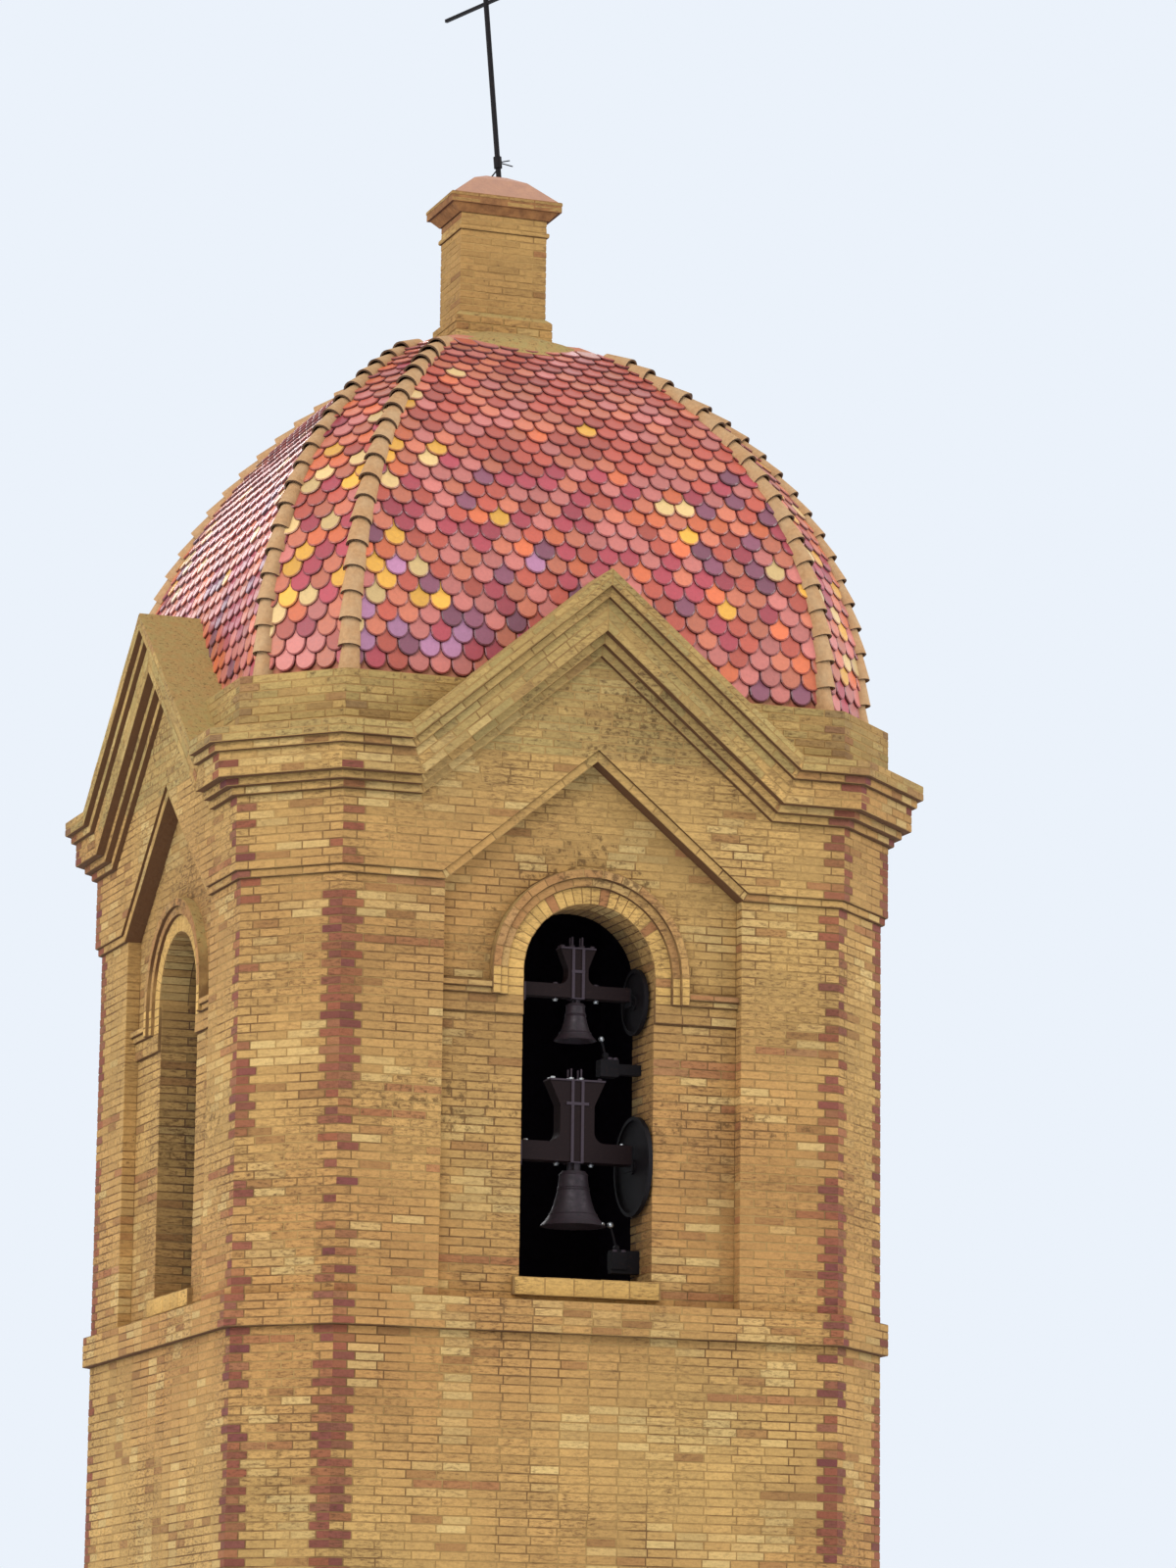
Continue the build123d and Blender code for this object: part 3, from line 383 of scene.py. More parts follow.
class BrickLayer:
    """Lays single bricks into one mesh and finishes them together."""

    def __init__(self, seed):
        self.look = bpy.context.scene.tower_brickwork
        self.draw = random.Random(seed)
        self.mesh = bmesh.new()
        self.paint = self.mesh.faces.layers.float_color.new("Brick")

    def colour(self, place, quoin=False, yellow=False, burnt=False):
        """A brick's colour, patchy by its place, with its share of moss as alpha."""
        look, draw = self.look, self.draw
        patch = noise.noise(place * 0.8 + Vector((7, 3, 1)))
        warm = min(1, max(0, 0.45 + 1.4 * noise.noise(place * 0.45)))
        shade = blend(look.ochre, look.tan, warm)
        chance = draw.random()
        if quoin:
            if chance < 0.72 + 0.9 * noise.noise(place * 0.9 + Vector((0, 5, 2))):
                shade = blend(look.red, look.plum, draw.random())
                shade = blend(shade, look.tan, 0.4 * draw.random() ** 2)
        elif yellow:
            shade = blend(look.arch, look.ochre, 0.4 * draw.random())
            if chance > 0.95:
                shade = blend(look.arch, look.red, 0.75)
        elif noise.noise(place * 2.3) > 0.16 and chance < 0.6:
            shade = blend(shade, look.pale, draw.uniform(0.2, 0.7))
        elif chance > 0.96:
            shade = blend(shade, look.brown, 0.7)
        if burnt:
            shade = blend(shade, look.red, 0.6)
        if place.z > COPING[1] and max(abs(place.x), abs(place.y)) > PARAPET_NEAR:
            shade = blend(shade, look.lichen, draw.uniform(0.3, 0.8))
        # A random tone, times painted shade in the recesses, the reveals and on the cap
        value = draw.uniform(0.91, 1.13) * shade_and_tone_at(place)
        return [c * value for c in shade] + [moss_at(place, patch)]

    def brick(self, axes, left, right, low, high, cuts=(), arch=None, **kind):
        """One brick face between its joints, cut by planes and round an arch."""
        middle = Vector(((left + right) / 2, (low + high) / 2, 0))
        place = axes @ middle
        size = (right - left - self.look.joint, high - low - self.look.joint, 1, 1)
        made = bmesh.ops.create_grid(self.mesh, x_segments=1, y_segments=1, size=0.5,
                                     matrix=axes @ Matrix.Translation(middle)
                                     @ Matrix.Diagonal(size))
        face = made["verts"][0].link_faces[0]
        face[self.paint] = self.colour(place, **kind)
        cuts = list(cuts)
        if arch:
            centre = axes @ Vector((0, SPRINGING, 0))
            away = place - centre
            if ((middle.y > SPRINGING - NEAR or away.length < arch)
                    and away.length < arch + (right - left)):
                toward = away.normalized()
                cuts.append((centre + toward * (arch + self.look.joint / 2), -toward))
        for point, normal in cuts:
            sides = [(v.co - point).dot(normal) for v in face.verts]
            if max(sides) <= 0:
                continue
            if min(sides) >= -SLIVER:
                bmesh.ops.delete(self.mesh, geom=[face], context="FACES")
                return
            geom = [face] + list(face.edges) + list(face.verts)
            kept = bmesh.ops.bisect_plane(self.mesh, geom=geom, plane_co=point,
                                          plane_no=normal, clear_outer=True)
            face = next(g for g in kept["geom"] if isinstance(g, bmesh.types.BMFace))

    def row(self, axes, start, end, low, high, corners=(0, 0), ends=(0, 0), length=None,
            yellow=False, **cuts):
        """A course from start to end: ends are the end bricks' lengths, and corners says
        which ends turn a corner of the tower, so that they are quoins and close up."""
        close = self.look.joint / 2 + self.look.proud * CORNER_TAN
        stops = [start - close if corners[0] else start]
        first = start + ends[0] if ends[0] else start
        last = end - ends[1] if ends[1] else end
        if ends[0]:
            stops.append(first)
        count = max(1, round((last - first) / (length or self.look.length)))
        for number in range(1, count):
            shift = self.draw.uniform(-0.05, 0.05)
            stops.append(first + (last - first) * (number + shift) / count)
        if ends[1]:
            stops.append(last)
        stops.append(end + close if corners[1] else end)
        # One course in fifteen has a run of up to three redder bricks
        red_from = self.draw.randrange(len(stops)) if self.draw.random() < 0.07 else -9
        for number, (left, right) in enumerate(zip(stops, stops[1:])):
            quoin = ((number == 0 and corners[0]) or (number == len(stops) - 2 and corners[1]))
            self.brick(axes, left, right, low, high, quoin=bool(quoin), yellow=yellow,
                       burnt=0 <= number - red_from < 3, **cuts)

    def half_row(self, axes, hand, inner, outer, low, high, first=0, last=0, corner=0,
                 **more):
        """A course on one hand of a side's middle: first and last are the lengths of its
        innermost and outermost bricks, and corner says whether it ends in a quoin."""
        order = slice(None, None, hand)
        self.row(axes, *sorted((hand * inner, hand * outer)), low, high,
                 corners=(0, corner)[order], ends=(first, last)[order], **more)

    def spin(self, centre, facing, points, count):
        """The faces that a chain of points leaves behind on its half turn over an arch."""
        chain = [self.mesh.verts.new(point) for point in points]
        lines = [self.mesh.edges.new(pair) for pair in zip(chain, chain[1:])]
        before = set(self.mesh.faces)
        bmesh.ops.spin(self.mesh, geom=chain + lines, cent=centre, axis=facing,
                       angle=math.pi, steps=count)
        return [f for f in self.mesh.faces if f not in before]

    def ring(self, axes, inner, outer, count, yellow=False, plum=False):
        """A half ring of bricks laid round an arch, split into count wedges."""
        across, facing = axes.col[0].xyz, axes.col[2].xyz
        centre = axes @ Vector((0, SPRINGING, 0))
        edge = [centre + across * radius for radius in (inner, outer)]
        wedges = self.spin(centre, facing, edge, count)
        for wedge in wedges:
            wedge.normal_update()
            if wedge.normal.dot(facing) < 0:
                wedge.normal_flip()
        self.open_joints(wedges, yellow, plum)

    def soffit(self, axes, radius, inside, outside, count):
        """The underside of an arch, laid in wedges two bricks deep."""
        across, facing = axes.col[0].xyz, axes.col[2].xyz
        centre = axes @ Vector((0, SPRINGING, 0)) - facing * (axes.translation.dot(facing))
        depths = [inside + (outside - inside) * share for share in (0, 0.5, 1)]
        edge = [centre + across * radius + facing * depth for depth in depths]
        wedges = self.spin(centre, facing, edge, count)
        for wedge in wedges:
            wedge.normal_update()
            if wedge.normal.dot(centre - wedge.calc_center_median()) < 0:
                wedge.normal_flip()
        self.open_joints(wedges)

    def open_joints(self, wedges, yellow=False, plum=False):
        """Colours wedges and opens the joints between them."""
        for wedge in wedges:
            shade = self.colour(wedge.calc_center_median(), yellow=yellow)
            if plum:
                shade[:3] = blend(shade[:3], self.look.red, self.draw.uniform(0.1, 0.4))
            wedge[self.paint] = shade
        bmesh.ops.split_edges(self.mesh, edges=list({e for w in wedges for e in w.edges}))
        rims = bmesh.ops.inset_individual(self.mesh, faces=wedges,
                                          thickness=self.look.joint / 2)
        bmesh.ops.delete(self.mesh, geom=rims["faces"], context="FACES")

    def finish(self, name, slot="brick"):
        """Roughens the faces, raises them out of the mortar and wears their edges."""
        draw, look = self.draw, self.look
        # Corners wander by up to 1 mm, and faces stand up to 1.5 mm in or out
        for corner in self.mesh.verts:
            corner.co += Vector([draw.uniform(-0.001, 0.001) for _ in range(3)])
        for face in self.mesh.faces:
            face.normal_update()
        fronts = list(self.mesh.faces)
        bmesh.ops.inset_individual(self.mesh, faces=fronts, thickness=look.arris,
                                   depth=look.proud)
        for front in fronts:
            lift = front.normal * draw.uniform(-0.0015, 0.0015)
            for corner in front.verts:
                corner.co += lift
        loose = [v for v in self.mesh.verts if not v.link_faces]
        bmesh.ops.delete(self.mesh, geom=loose, context="VERTS")
        return finish_piece(self.mesh, name, "fired brick")


def shade_and_tone_at(place):
    """How bright a brick is: a little darker from just under the springing upwards, painted shade
    on the recessed walls and on the cap, and painted shade deepening through the openings from the
    wall's face to its inside."""
    flat, across = max(abs(place.x), abs(place.y)), min(abs(place.x), abs(place.y))
    inside = (RECESS - 0.02 - flat) / (RECESS - WALL_INSIDE)
    beside = across > PIER_INNER
    # Painted shade on the reveals of the openings, deeper towards the inside
    if inside > 0 and not beside and place.z <= SPRINGING + 1:
        return 0.86 - 0.50 * min(1, inside)
    # A little darker from just under the springing upwards
    tone = 0.93 if place.z > SPRINGING - 0.6 else 1
    # Painted shade on the recessed walls between the piers
    if not beside and inside > -0.2:
        tone *= 0.92
    # Painted shade on the pedestal's cap
    if place.z > CAP_FOOT:
        tone = 0.72
    return tone * (1 + 0.16 * noise.noise(place * 1.1 + Vector((3, 8, 4))))


def moss_at(place, patch):
    """How much damp growth a brick carries, from 0 to 1: most of it over the arches, in a
    band across the belfry, in the gables and on the parapet."""
    flat, across = max(abs(place.x), abs(place.y)), min(abs(place.x), abs(place.y))
    moss = 0.05 + 0.5 * max(0, patch)
    if place.z > BAND_TOP and flat < HALF_FLAT + 0.2 and across < FACE_HALF:
        ring = math.hypot(across, place.z - SPRINGING) - RING_EDGES[-1]
        if place.z > SPRINGING and across < PIER_INNER:
            moss += 0.45 * math.exp(-(ring / 0.3) ** 2)
        if across < PIER_INNER + 0.6:
            moss += 0.55 * math.exp(-((place.z - DAMP_BAND) / 0.35) ** 2)
        if place.z > FRIEZE[1]:
            moss += 0.3 * math.exp(-(across / 0.6) ** 2)
    if place.z > COPING[1] and place.z < PARAPET_TOP + NEAR:
        moss += 0.3
    return min(0.8, moss)


def quoin_length(row, look, side):
    """The length of a course's end bricks: long on one side of a corner, short on the other,
    and the other way round in the next course."""
    return look.length * (0.72 if row % 2 == side % 2 else 0.46)


def level_courses(layer, low, high, count=None):
    """The number, foot and top of each level course between two heights."""
    count = count or max(1, round((high - low) / layer.look.course))
    step = (high - low) / count
    return [(row, low + row * step, low + (row + 1) * step) for row in range(count)]


def lay_sides(layer, out, low, high, sides=range(8), courses=None):
    """Courses all round the tower, whole on every side."""
    for side in sides:
        axes = side_axes(side, out)
        half = side_half(side, out)
        for row, foot, top in level_courses(layer, low, high, courses):
            end = quoin_length(row, layer.look, side)
            layer.row(axes, -half, half, foot, top, corners=(1, 1), ends=(end, end))


def rake_plane(axes, line, hand, upper):
    """The plane of a gable's slope through a course line; upper planes cut what is above."""
    _, level, foot, apex = line
    start = axes @ Vector((hand * foot, level, 0))
    top = axes @ Vector((0, apex, 0))
    normal = (top - start).cross(axes.col[2].xyz).normalized()
    if (normal.z > 0) != upper:
        normal.negate()
    return start, normal


def reach_at(line, height):
    """How far from the middle a gable's slope is at a height."""
    _, level, foot, apex = line
    return foot * (apex - height) / (apex - level)


def lay_climbing(layer, low, high, courses=1):
    """The courses between two course lines, level at the corners and raked over the gables."""
    out, level, foot, peak = low
    lay_sides(layer, out, level, high[1], sides=NARROW_SIDES, courses=courses)
    close = layer.look.joint / 2
    inner = min(foot, high[2]) - NEAR
    for side in WIDE_SIDES:
        axes = side_axes(side, out)
        half = side_half(side, out)
        for hand in (-1, 1):
            outward = axes.col[0].xyz * hand
            start, end = Vector((hand * foot, level, 0)), Vector((0, peak, 0))
            mitre_foot, apex = axes @ start, axes @ end
            mitre_top = axes @ Vector((hand * high[2], high[1], 0))
            mitre = (mitre_top - mitre_foot).cross(axes.col[2].xyz).normalized()
            if mitre.dot(outward) < 0:
                mitre.negate()
            for row, bottom, top in level_courses(layer, level, high[1], courses):
                layer.half_row(axes, hand, inner, half, bottom, top, corner=1,
                               last=quoin_length(row, layer.look, side),
                               cuts=[(mitre_foot + mitre * close, -mitre)])
            length = (end - start).length
            along = (end - start).normalized()
            rise = Vector((hand * along.y, abs(along.x), 0))
            thick = (Vector((0, high[3], 0)) - end).dot(rise)
            raked = axes @ axes_at(along * -hand, rise, UP, start if hand < 0 else end)
            for row, bottom, top in level_courses(layer, 0, thick, courses):
                past = PAST_MITRE + layer.look.length / 2 * (row % 2)
                reach = (-past, length + PAST_APEX)
                if hand > 0:
                    reach = (-PAST_APEX, length + past)
                layer.row(raked, *reach, bottom, top,
                          cuts=[(mitre_foot - mitre * close, mitre),
                                (apex + outward * close, -outward)])


class TOWER_OT_set_stage(bpy.types.Operator):
    """Places the camera, the lights, the floor and the pale backdrop."""
    bl_idname = "tower.set_stage"
    bl_label = "Set the Stage"

    def execute(self, context):
        look = context.scene.tower_stage
        self.place_camera(context.scene, look.focal)
        for name, place, width, power in LAMPS:
            light = bpy.data.lights.new(name, "AREA")
            light.size = width
            light.energy = power
            lamp = bpy.data.objects.new(name, light)
            aim = LAMP_AIM - Vector(place)
            lamp.matrix_world = (Matrix.Translation(place)
                                 @ aim.to_track_quat("-Z", "Y").to_matrix().to_4x4())
            context.scene.collection.objects.link(lamp)

        # Seen directly or mirrored the world is the plain backdrop, but it lights as a blue sky
        pale = rgba(look.backdrop)
        world = bpy.data.worlds.new("soft sky")
        sky = NodeMixer(world)
        rays = sky.node("LightPath").outputs
        seen = sky.maths("MAXIMUM", rays["Is Camera Ray"],
                         sky.maths("MAXIMUM", rays["Is Glossy Ray"],
                                   rays["Is Transmission Ray"]))
        lit = sky.tree.nodes["Background"]
        sky.link(rgba(SKY), lit.inputs["Color"])
        sky.link(SKY_STRENGTH, lit.inputs["Strength"])
        plain = sky.node("Background", {"Color": pale, "Strength": 1})
        either = sky.node("MixShader", {0: seen, 1: lit.outputs[0], 2: plain.outputs[0]})
        sky.link(either.outputs[0], sky.tree.nodes["World Output"].inputs["Surface"])
        context.scene.world = world

        # Matt paper floor: keeps the tower's shadow, and fades into the backdrop
        Finish("pale paper", 1.0, 0.0).finish(pale)
        ground = bmesh.new()
        bmesh.ops.create_circle(ground, cap_ends=True, segments=96, radius=FLOOR_RADIUS)
        data = bpy.data.meshes.new("floor")
        ground.to_mesh(data)
        ground.free()
        data.materials.append(bpy.data.materials["pale paper"])
        floor = bpy.data.objects.new("floor", data)
        context.scene.collection.objects.link(floor)
        context.scene.view_settings.view_transform = "Standard"
        return {"FINISHED"}

    def place_camera(self, scene, focal):
        """The camera, turned from the y axis by its yaw, tipped up and rolled."""
        lens = bpy.data.cameras.new("camera")
        lens.lens = focal
        lens.clip_end = 500
        camera = bpy.data.objects.new("camera", lens)
        yaw, pitch, roll = (math.radians(turn) for turn in CAMERA_TURN)
        level = Vector((math.cos(yaw), -math.sin(yaw), 0))
        over = Vector((-math.sin(yaw) * math.sin(pitch), -math.cos(yaw) * math.sin(pitch),
                       math.cos(pitch)))
        right = level * math.cos(roll) + over * math.sin(roll)
        upward = over * math.cos(roll) - level * math.sin(roll)
        camera.matrix_world = axes_at(right, upward, right.cross(upward), CAMERA_PLACE)
        scene.collection.objects.link(camera)
        scene.camera = camera


class TOWER_OT_mix_finishes(bpy.types.Operator):
    """Makes the materials and gives the CAD nodes theirs."""
    bl_idname = "tower.mix_finishes"
    bl_label = "Mix the Finishes"

    def execute(self, context):
        brick = context.scene.tower_brickwork
        roof = context.scene.tower_roof
        bell = context.scene.tower_bells
        make_brick(brick)
        make_mortar(brick)
        make_glaze()
        make_clay("ridge clay", roof.clay)
        make_clay("bare clay", roof.terracotta)
        make_bronze(bell)
        make_paint("yoke paint", bell.timber, 0.55)
        make_paint("wrought iron", bell.iron, 0.55)
        make_paint("strap steel", bell.strap, 0.5)
        make_zinc(bell)
        make_cap(brick, roof)
        finishes = {
            "bare clay": ["dome_shell"],
            "ridge clay": ["dome_ribs"],
            "bell bronze": ["large_bell", "small_bell"],
            "yoke paint": ["large_yoke", "small_yoke"],
            "strap steel": ["large_straps", "small_straps"],
            "wrought iron": ["large_wheel", "small_wheel", "large_hammer", "small_hammer",
                             "hammer_units", "bearings", "iron_cross"],
            "old plaster": ["pedestal_cap"],
        }
        chosen = {node: name for name, nodes in finishes.items() for node in nodes}
        for node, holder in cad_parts.items():
            material = bpy.data.materials[chosen.get(node, "lime mortar")]
            if not holder.material_slots:
                holder.data.materials.append(material)
            for slot in holder.material_slots:
                slot.material = material
        return {"FINISHED"}


def make_brick(look):
    """Fired brick: sand-faced clay, dull, each brick its own tint, pitted and stained."""
    made = Finish("fired brick", 0.92, 0.25)
    paint = made.node("Attribute", attribute_name="Brick").outputs
    # 20 mm blotches of the kiln, 4 mm grit, and paler patches half a metre wide
    blotch = made.speckle(48)
    grit = made.speckle(260, detail=2)
    washed = made.maths("MULTIPLY", made.speckle(2.2, 0.38, 0.66, 5), 0.16)
    colour = made.shade(0.28, paint["Color"], (0.34, 0.28, 0.22), blotch)
    colour = made.mix(washed, colour,
                      made.mix(1.0, paint["Color"], (1.5, 1.5, 1.4), "MULTIPLY"))
    # The faces have spalled along their beds in dark level streaks, more of them in patches
    level = made.vector("MULTIPLY", made.place, (1, 1, 3.4))
    spall = made.speckle(15, 0.47, 0.66, 6, 0.7, level)
    patch = made.speckle(1.2, 0.42, 0.60, 5)
    share = made.maths("ADD", made.maths("MULTIPLY", patch, 0.62), 0.24)
    colour = made.mix(made.maths("MULTIPLY", spall, share), colour,
                      blend(look.grime_and_shade, look.moss, 0.4))
    # Moss in 60 mm crusts, most of it where the brick's own share is high
    growth = made.maths("ADD", made.maths("MULTIPLY", paint["Alpha"], 0.28),
                        made.cells(17, 8, 0.72))
    colour = made.mix(made.spread(growth, 0.70, 0.80, 0.0, 0.75), colour, look.moss)
    made.finish(colour, made.maths("ADD", made.maths("MULTIPLY", blotch, 0.6), grit), 0.0016)


def make_mortar(look):
    """Lime mortar: dull and sandy, dirty in patches, with painted shade under ledges, on the
    reveals and inside the belfry.
    """
    made = Finish("lime mortar", 0.95, 0.2)
    height = made.split(made.place)["Z"]
    blotch = made.speckle(22)
    grit = made.speckle(190, detail=3)
    colour = made.shade(0.3, look.mortar, (0.42, 0.38, 0.33), blotch)
    # Dirt fills the joints in patches half a metre wide, and all of those near the quoins
    sheer = made.vector("ABSOLUTE", made.place)
    flat = made.vector("MULTIPLY", sheer, (1, 1, 0))
    dirt_and_shade = made.speckle(1.7, 0.46, 0.60, 6)
    for corner in ((FACE_HALF, HALF_FLAT, 0), (HALF_FLAT, FACE_HALF, 0)):
        away = made.vector("DISTANCE", flat, corner)
        dirt_and_shade = made.maths("MAXIMUM", dirt_and_shade, made.spread(away, 0.12, 0.20, 0.8, 0.0))
    # Open joints round the bell openings
    sides = made.split(sheer)
    across = made.maths("MINIMUM", sides["X"], sides["Y"])
    recessed = made.maths("LESS_THAN", across, PIER_INNER)
    away = made.maths("ABSOLUTE", made.maths("SUBTRACT", height, SILL_TOP + 1.5))
    band = made.maths("MULTIPLY", made.spread(away, 0.5, 1.6, 1.0, 0.0), recessed)
    band = made.maths("MULTIPLY", band, made.speckle(5, 0.40, 0.54))
    dirt_and_shade = made.maths("MAXIMUM", dirt_and_shade, band)
    # Rain keeps the joints above the coping cleaner, and the faces that look down under every ledge
    # take dirt and painted shade
    clean = made.maths("MULTIPLY", made.maths("GREATER_THAN", height, COPING[1]), 0.35)
    dirt_and_shade = made.maths("SUBTRACT", made.maths("MULTIPLY", dirt_and_shade, 0.7), clean)
    dirt_and_shade = made.maths("MAXIMUM", dirt_and_shade, made.tilt(-0.2, -0.5, 0.85))
    colour = made.mix(dirt_and_shade, colour, look.grime_and_shade)
    # Lichen grows in 60 mm crusts on what looks up, and moss in 30 mm crusts among it
    crust = made.mix(made.speckle(15, 0.38, 0.62, 8, 0.7), look.lichen, look.mortar)
    crust = made.mix(made.speckle(36, 0.55, 0.68, 8, 0.7), crust, look.moss)
    colour = made.mix(made.tilt(0.15, 0.45), colour, crust)
    # Painted shade, nearly black: on the reveals, deeper towards the inside, and all over the inner
    # faces
    reveal = made.spread(made.maths("MAXIMUM", sides["X"], sides["Y"]),
                         RECESS - 0.02, WALL_INSIDE, 0.0, 0.92)
    reveal = made.maths("MULTIPLY", reveal, made.maths("LESS_THAN", height, SPRINGING + 1))
    reveal = made.maths("MULTIPLY", reveal, recessed)
    outward = made.vector("MULTIPLY", made.place, (1, 1, 0))
    inward = made.maths("LESS_THAN", made.vector("DOT_PRODUCT", outward, made.facing), -1.5)
    colour = made.mix(made.maths("MAXIMUM", reveal, inward), colour, (0.018, 0.012, 0.021))
    made.finish(colour, made.maths("ADD", blotch, made.maths("MULTIPLY", grit, 0.4)), 0.005)


def make_cap(look, roof):
    """Plaster over brick: brown at the edges, pink where it lies open, with painted shade
    underneath.
    """
    made = Finish("old plaster", 0.93, 0.2)
    blotch = made.speckle(11, 0.35, 0.65, 7, 0.65)
    colour = made.mix(blotch, blend(look.brown, look.grime_and_shade, 0.6), look.brown)
    # Pink plaster on what looks up, and painted shade in the grime colour on what looks down
    for start, end, over in ((0.3, 0.8, roof.cap), (-0.72, -0.9, look.grime_and_shade)):
        colour = made.mix(made.tilt(start, end, 0.85), colour, over)
    made.finish(colour, blotch, 0.006)


def make_glaze():
    """Glazed tile: clear lead glaze over stained clay, wet-looking but scuffed by weather."""
    made = Finish("glazed tile", 0.55, 0.35, Coat_Weight=0.6, Coat_Roughness=0.3)
    paint = made.node("Attribute", attribute_name="Tile").outputs["Color"]
    # Glaze pools in 30 mm patches, and dust lies on it in 5 mm specks
    pool = made.speckle(34)
    dust = made.maths("MULTIPLY", made.speckle(170, 0.5, 0.75), 0.12)
    colour = made.shade(0.25, paint, (0.42, 0.36, 0.36), pool)
    made.link(made.spread(pool, 0, 1, 0.48, 0.66), made.shader.inputs["Roughness"])
    made.finish(made.mix(dust, colour, (0.45, 0.35, 0.28)), pool, 0.0015)


def make_clay(name, base):
    """Unglazed clay: dull, dusted with lime, ochre where rain has run."""
    made = Finish(name, 0.9, 0.25)
    blotch = made.speckle(30)
    colour = made.shade(0.5, base, (0.5, 0.44, 0.4), blotch)
    run = made.maths("MULTIPLY", made.speckle(7, 0.4, 0.66, 6), 0.3)
    colour = made.mix(run, colour, (0.52, 0.40, 0.24))
    # Painted shade, nearly black, on the ends and undersides, which look downwards
    colour = made.mix(made.tilt(-0.05, -0.35, 0.85), colour, (0.035, 0.018, 0.014))
    made.finish(colour, blotch, 0.0025)


def make_bronze(look):
    """Bell bronze: cast metal gone dark, under a patchy skin that is nearly black."""
    made = Finish("bell bronze", 0.5, 0.3, Metallic=0.2)
    skin = made.speckle(24, 0.35, 0.65, 6)
    made.link(made.spread(skin, 0, 1, 0.42, 0.62), made.shader.inputs["Roughness"])
    made.finish(made.mix(skin, look.bronze, (0.022, 0.016, 0.018)), skin, 0.0008)


def make_paint(name, base, rough):
    """Oil paint on iron or timber: half-dull, chalked, rust-brown where it has flaked."""
    made = Finish(name, rough, 0.12)
    flake = made.maths("MULTIPLY", made.speckle(40, 0.55, 0.68, 7, 0.7), 0.5)
    made.finish(made.mix(flake, base, (0.03, 0.014, 0.010)), made.speckle(120), 0.0006)


def make_zinc(look):
    """Zinc plating: dull bright grey with a faint spangle."""
    made = Finish("zinc plate", 0.42, 0.5, Metallic=1.0)
    made.finish(made.mix(made.speckle(90), look.zinc, (0.22, 0.22, 0.21)))


class TOWER_OT_lay_shaft(bpy.types.Operator):
    """Lays the bricks of the plinth, the lower shaft and the base band."""
    bl_idname = "tower.lay_shaft"
    bl_label = "Lay the Lower Shaft"

    def execute(self, context):
        for seed, name, out, low, high in (
                (11, "plinth_bricks", PLINTH_OUT, 0.004, PLINTH_TOP - PLINTH_CHAMFER),
                (12, "shaft_bricks", 0, PLINTH_TOP, BAND_LOW),
                (13, "band_bricks", BAND_OUT, BAND_LOW, BAND_TOP)):
            layer = BrickLayer(seed)
            lay_sides(layer, out, low, high)
            layer.finish(name)
        return {"FINISHED"}


class TOWER_OT_lay_belfry(bpy.types.Operator):
    """Lays the bricks of the piers and of the arched walls between them."""
    bl_idname = "tower.lay_belfry"
    bl_label = "Lay the Belfry"

    def execute(self, context):
        piers = BrickLayer(21)
        look = piers.look
        close = look.joint / 2
        lay_sides(piers, 0, BAND_TOP, PIER_TOP, sides=NARROW_SIDES)
        half = side_half(0)
        for side in WIDE_SIDES:
            axes = side_axes(side)
            for row, low, high in level_courses(piers, BAND_TOP, PIER_TOP):
                header = 0 if row % 2 else look.length / 2
                for hand in (1, -1):
                    piers.half_row(axes, hand, PIER_INNER - close, half, low, high, header,
                                   quoin_length(row, look, side), corner=1)
                for hand in (-1, 1):
                    edge = reveal_axes(side, hand, PIER_INNER)
                    piers.half_row(edge, hand, RECESS, HALF_FLAT + close, low, high, length=1)
        piers.finish("pier_bricks")

        walls = BrickLayer(22)
        for side in WIDE_SIDES:
            self.lay_wall(walls, side)
        walls.finish("arched_wall_bricks")

        sills = BrickLayer(23)
        for side in WIDE_SIDES:
            face = side_axes(side, distance=SILL_FACE)
            sills.row(face, -SILL_HALF - close, SILL_HALF + close, SILL_LOW, SILL_TOP,
                      yellow=True)
            out = side_out(side)
            flat = axes_at(UP.cross(out), -out, UP, UP * SILL_TOP)
            for back, front in ((WALL_INSIDE, SILL_SEAM), (SILL_SEAM, SILL_FACE)):
                half = SILL_HALF if front > RECESS else OPENING_HALF
                sills.row(flat, -half, half, -front, -back, yellow=True)
        sills.finish("sill_bricks")
        return {"FINISHED"}

    def lay_wall(self, walls, side):
        """One arched wall with its reveals, up to the underside of the string course."""
        look = walls.look
        close = look.joint / 2
        axes = side_axes(side, distance=RECESS)
        step = (PIER_TOP - BAND_TOP) / round((PIER_TOP - BAND_TOP) / look.course)
        slopes = [rake_plane(axes, STRING, hand, True) for hand in (-1, 1)]
        for row in range(round((STRING[3] - BAND_TOP) / look.course) + 1):
            low, high = BAND_TOP + row * step, BAND_TOP + (row + 1) * step
            header = look.length / 2 if row % 2 else 0
            # The jambs of the opening, up to the springing
            if low > SILL_TOP - step / 2 and high < SPRINGING + step:
                for hand in (-1, 1):
                    jamb = reveal_axes(side, hand, OPENING_HALF)
                    walls.half_row(jamb, hand, WALL_INSIDE - close, RECESS + close, low, high,
                                   first=header)
            # Then the face: whole under the sill, on both hands of the opening, round the arch
            if high < SILL_LOW + step / 2:
                walls.row(axes, -PIER_INNER, PIER_INNER, low, high, ends=(header, header))
            elif low < SPRINGING - 2 * step:
                if low > IMPOST_LOW - step / 2 and high < IMPOST_TOP + step / 2:
                    continue
                inner = SILL_HALF if high < SILL_TOP + step / 2 else OPENING_HALF - close
                if low > IMPOST_TOP - step:
                    inner = RING_EDGES[-1]
                for hand in (-1, 1):
                    walls.half_row(axes, hand, inner, PIER_INNER, low, high, last=header)
            else:
                reach = min(PIER_INNER, reach_at(STRING, low))
                if reach < PEAK_HALF:
                    break
                walls.row(axes, -reach, reach, low, high, ends=(header, header),
                          cuts=slopes if low > PIER_TOP - step else (), arch=RING_EDGES[-1])


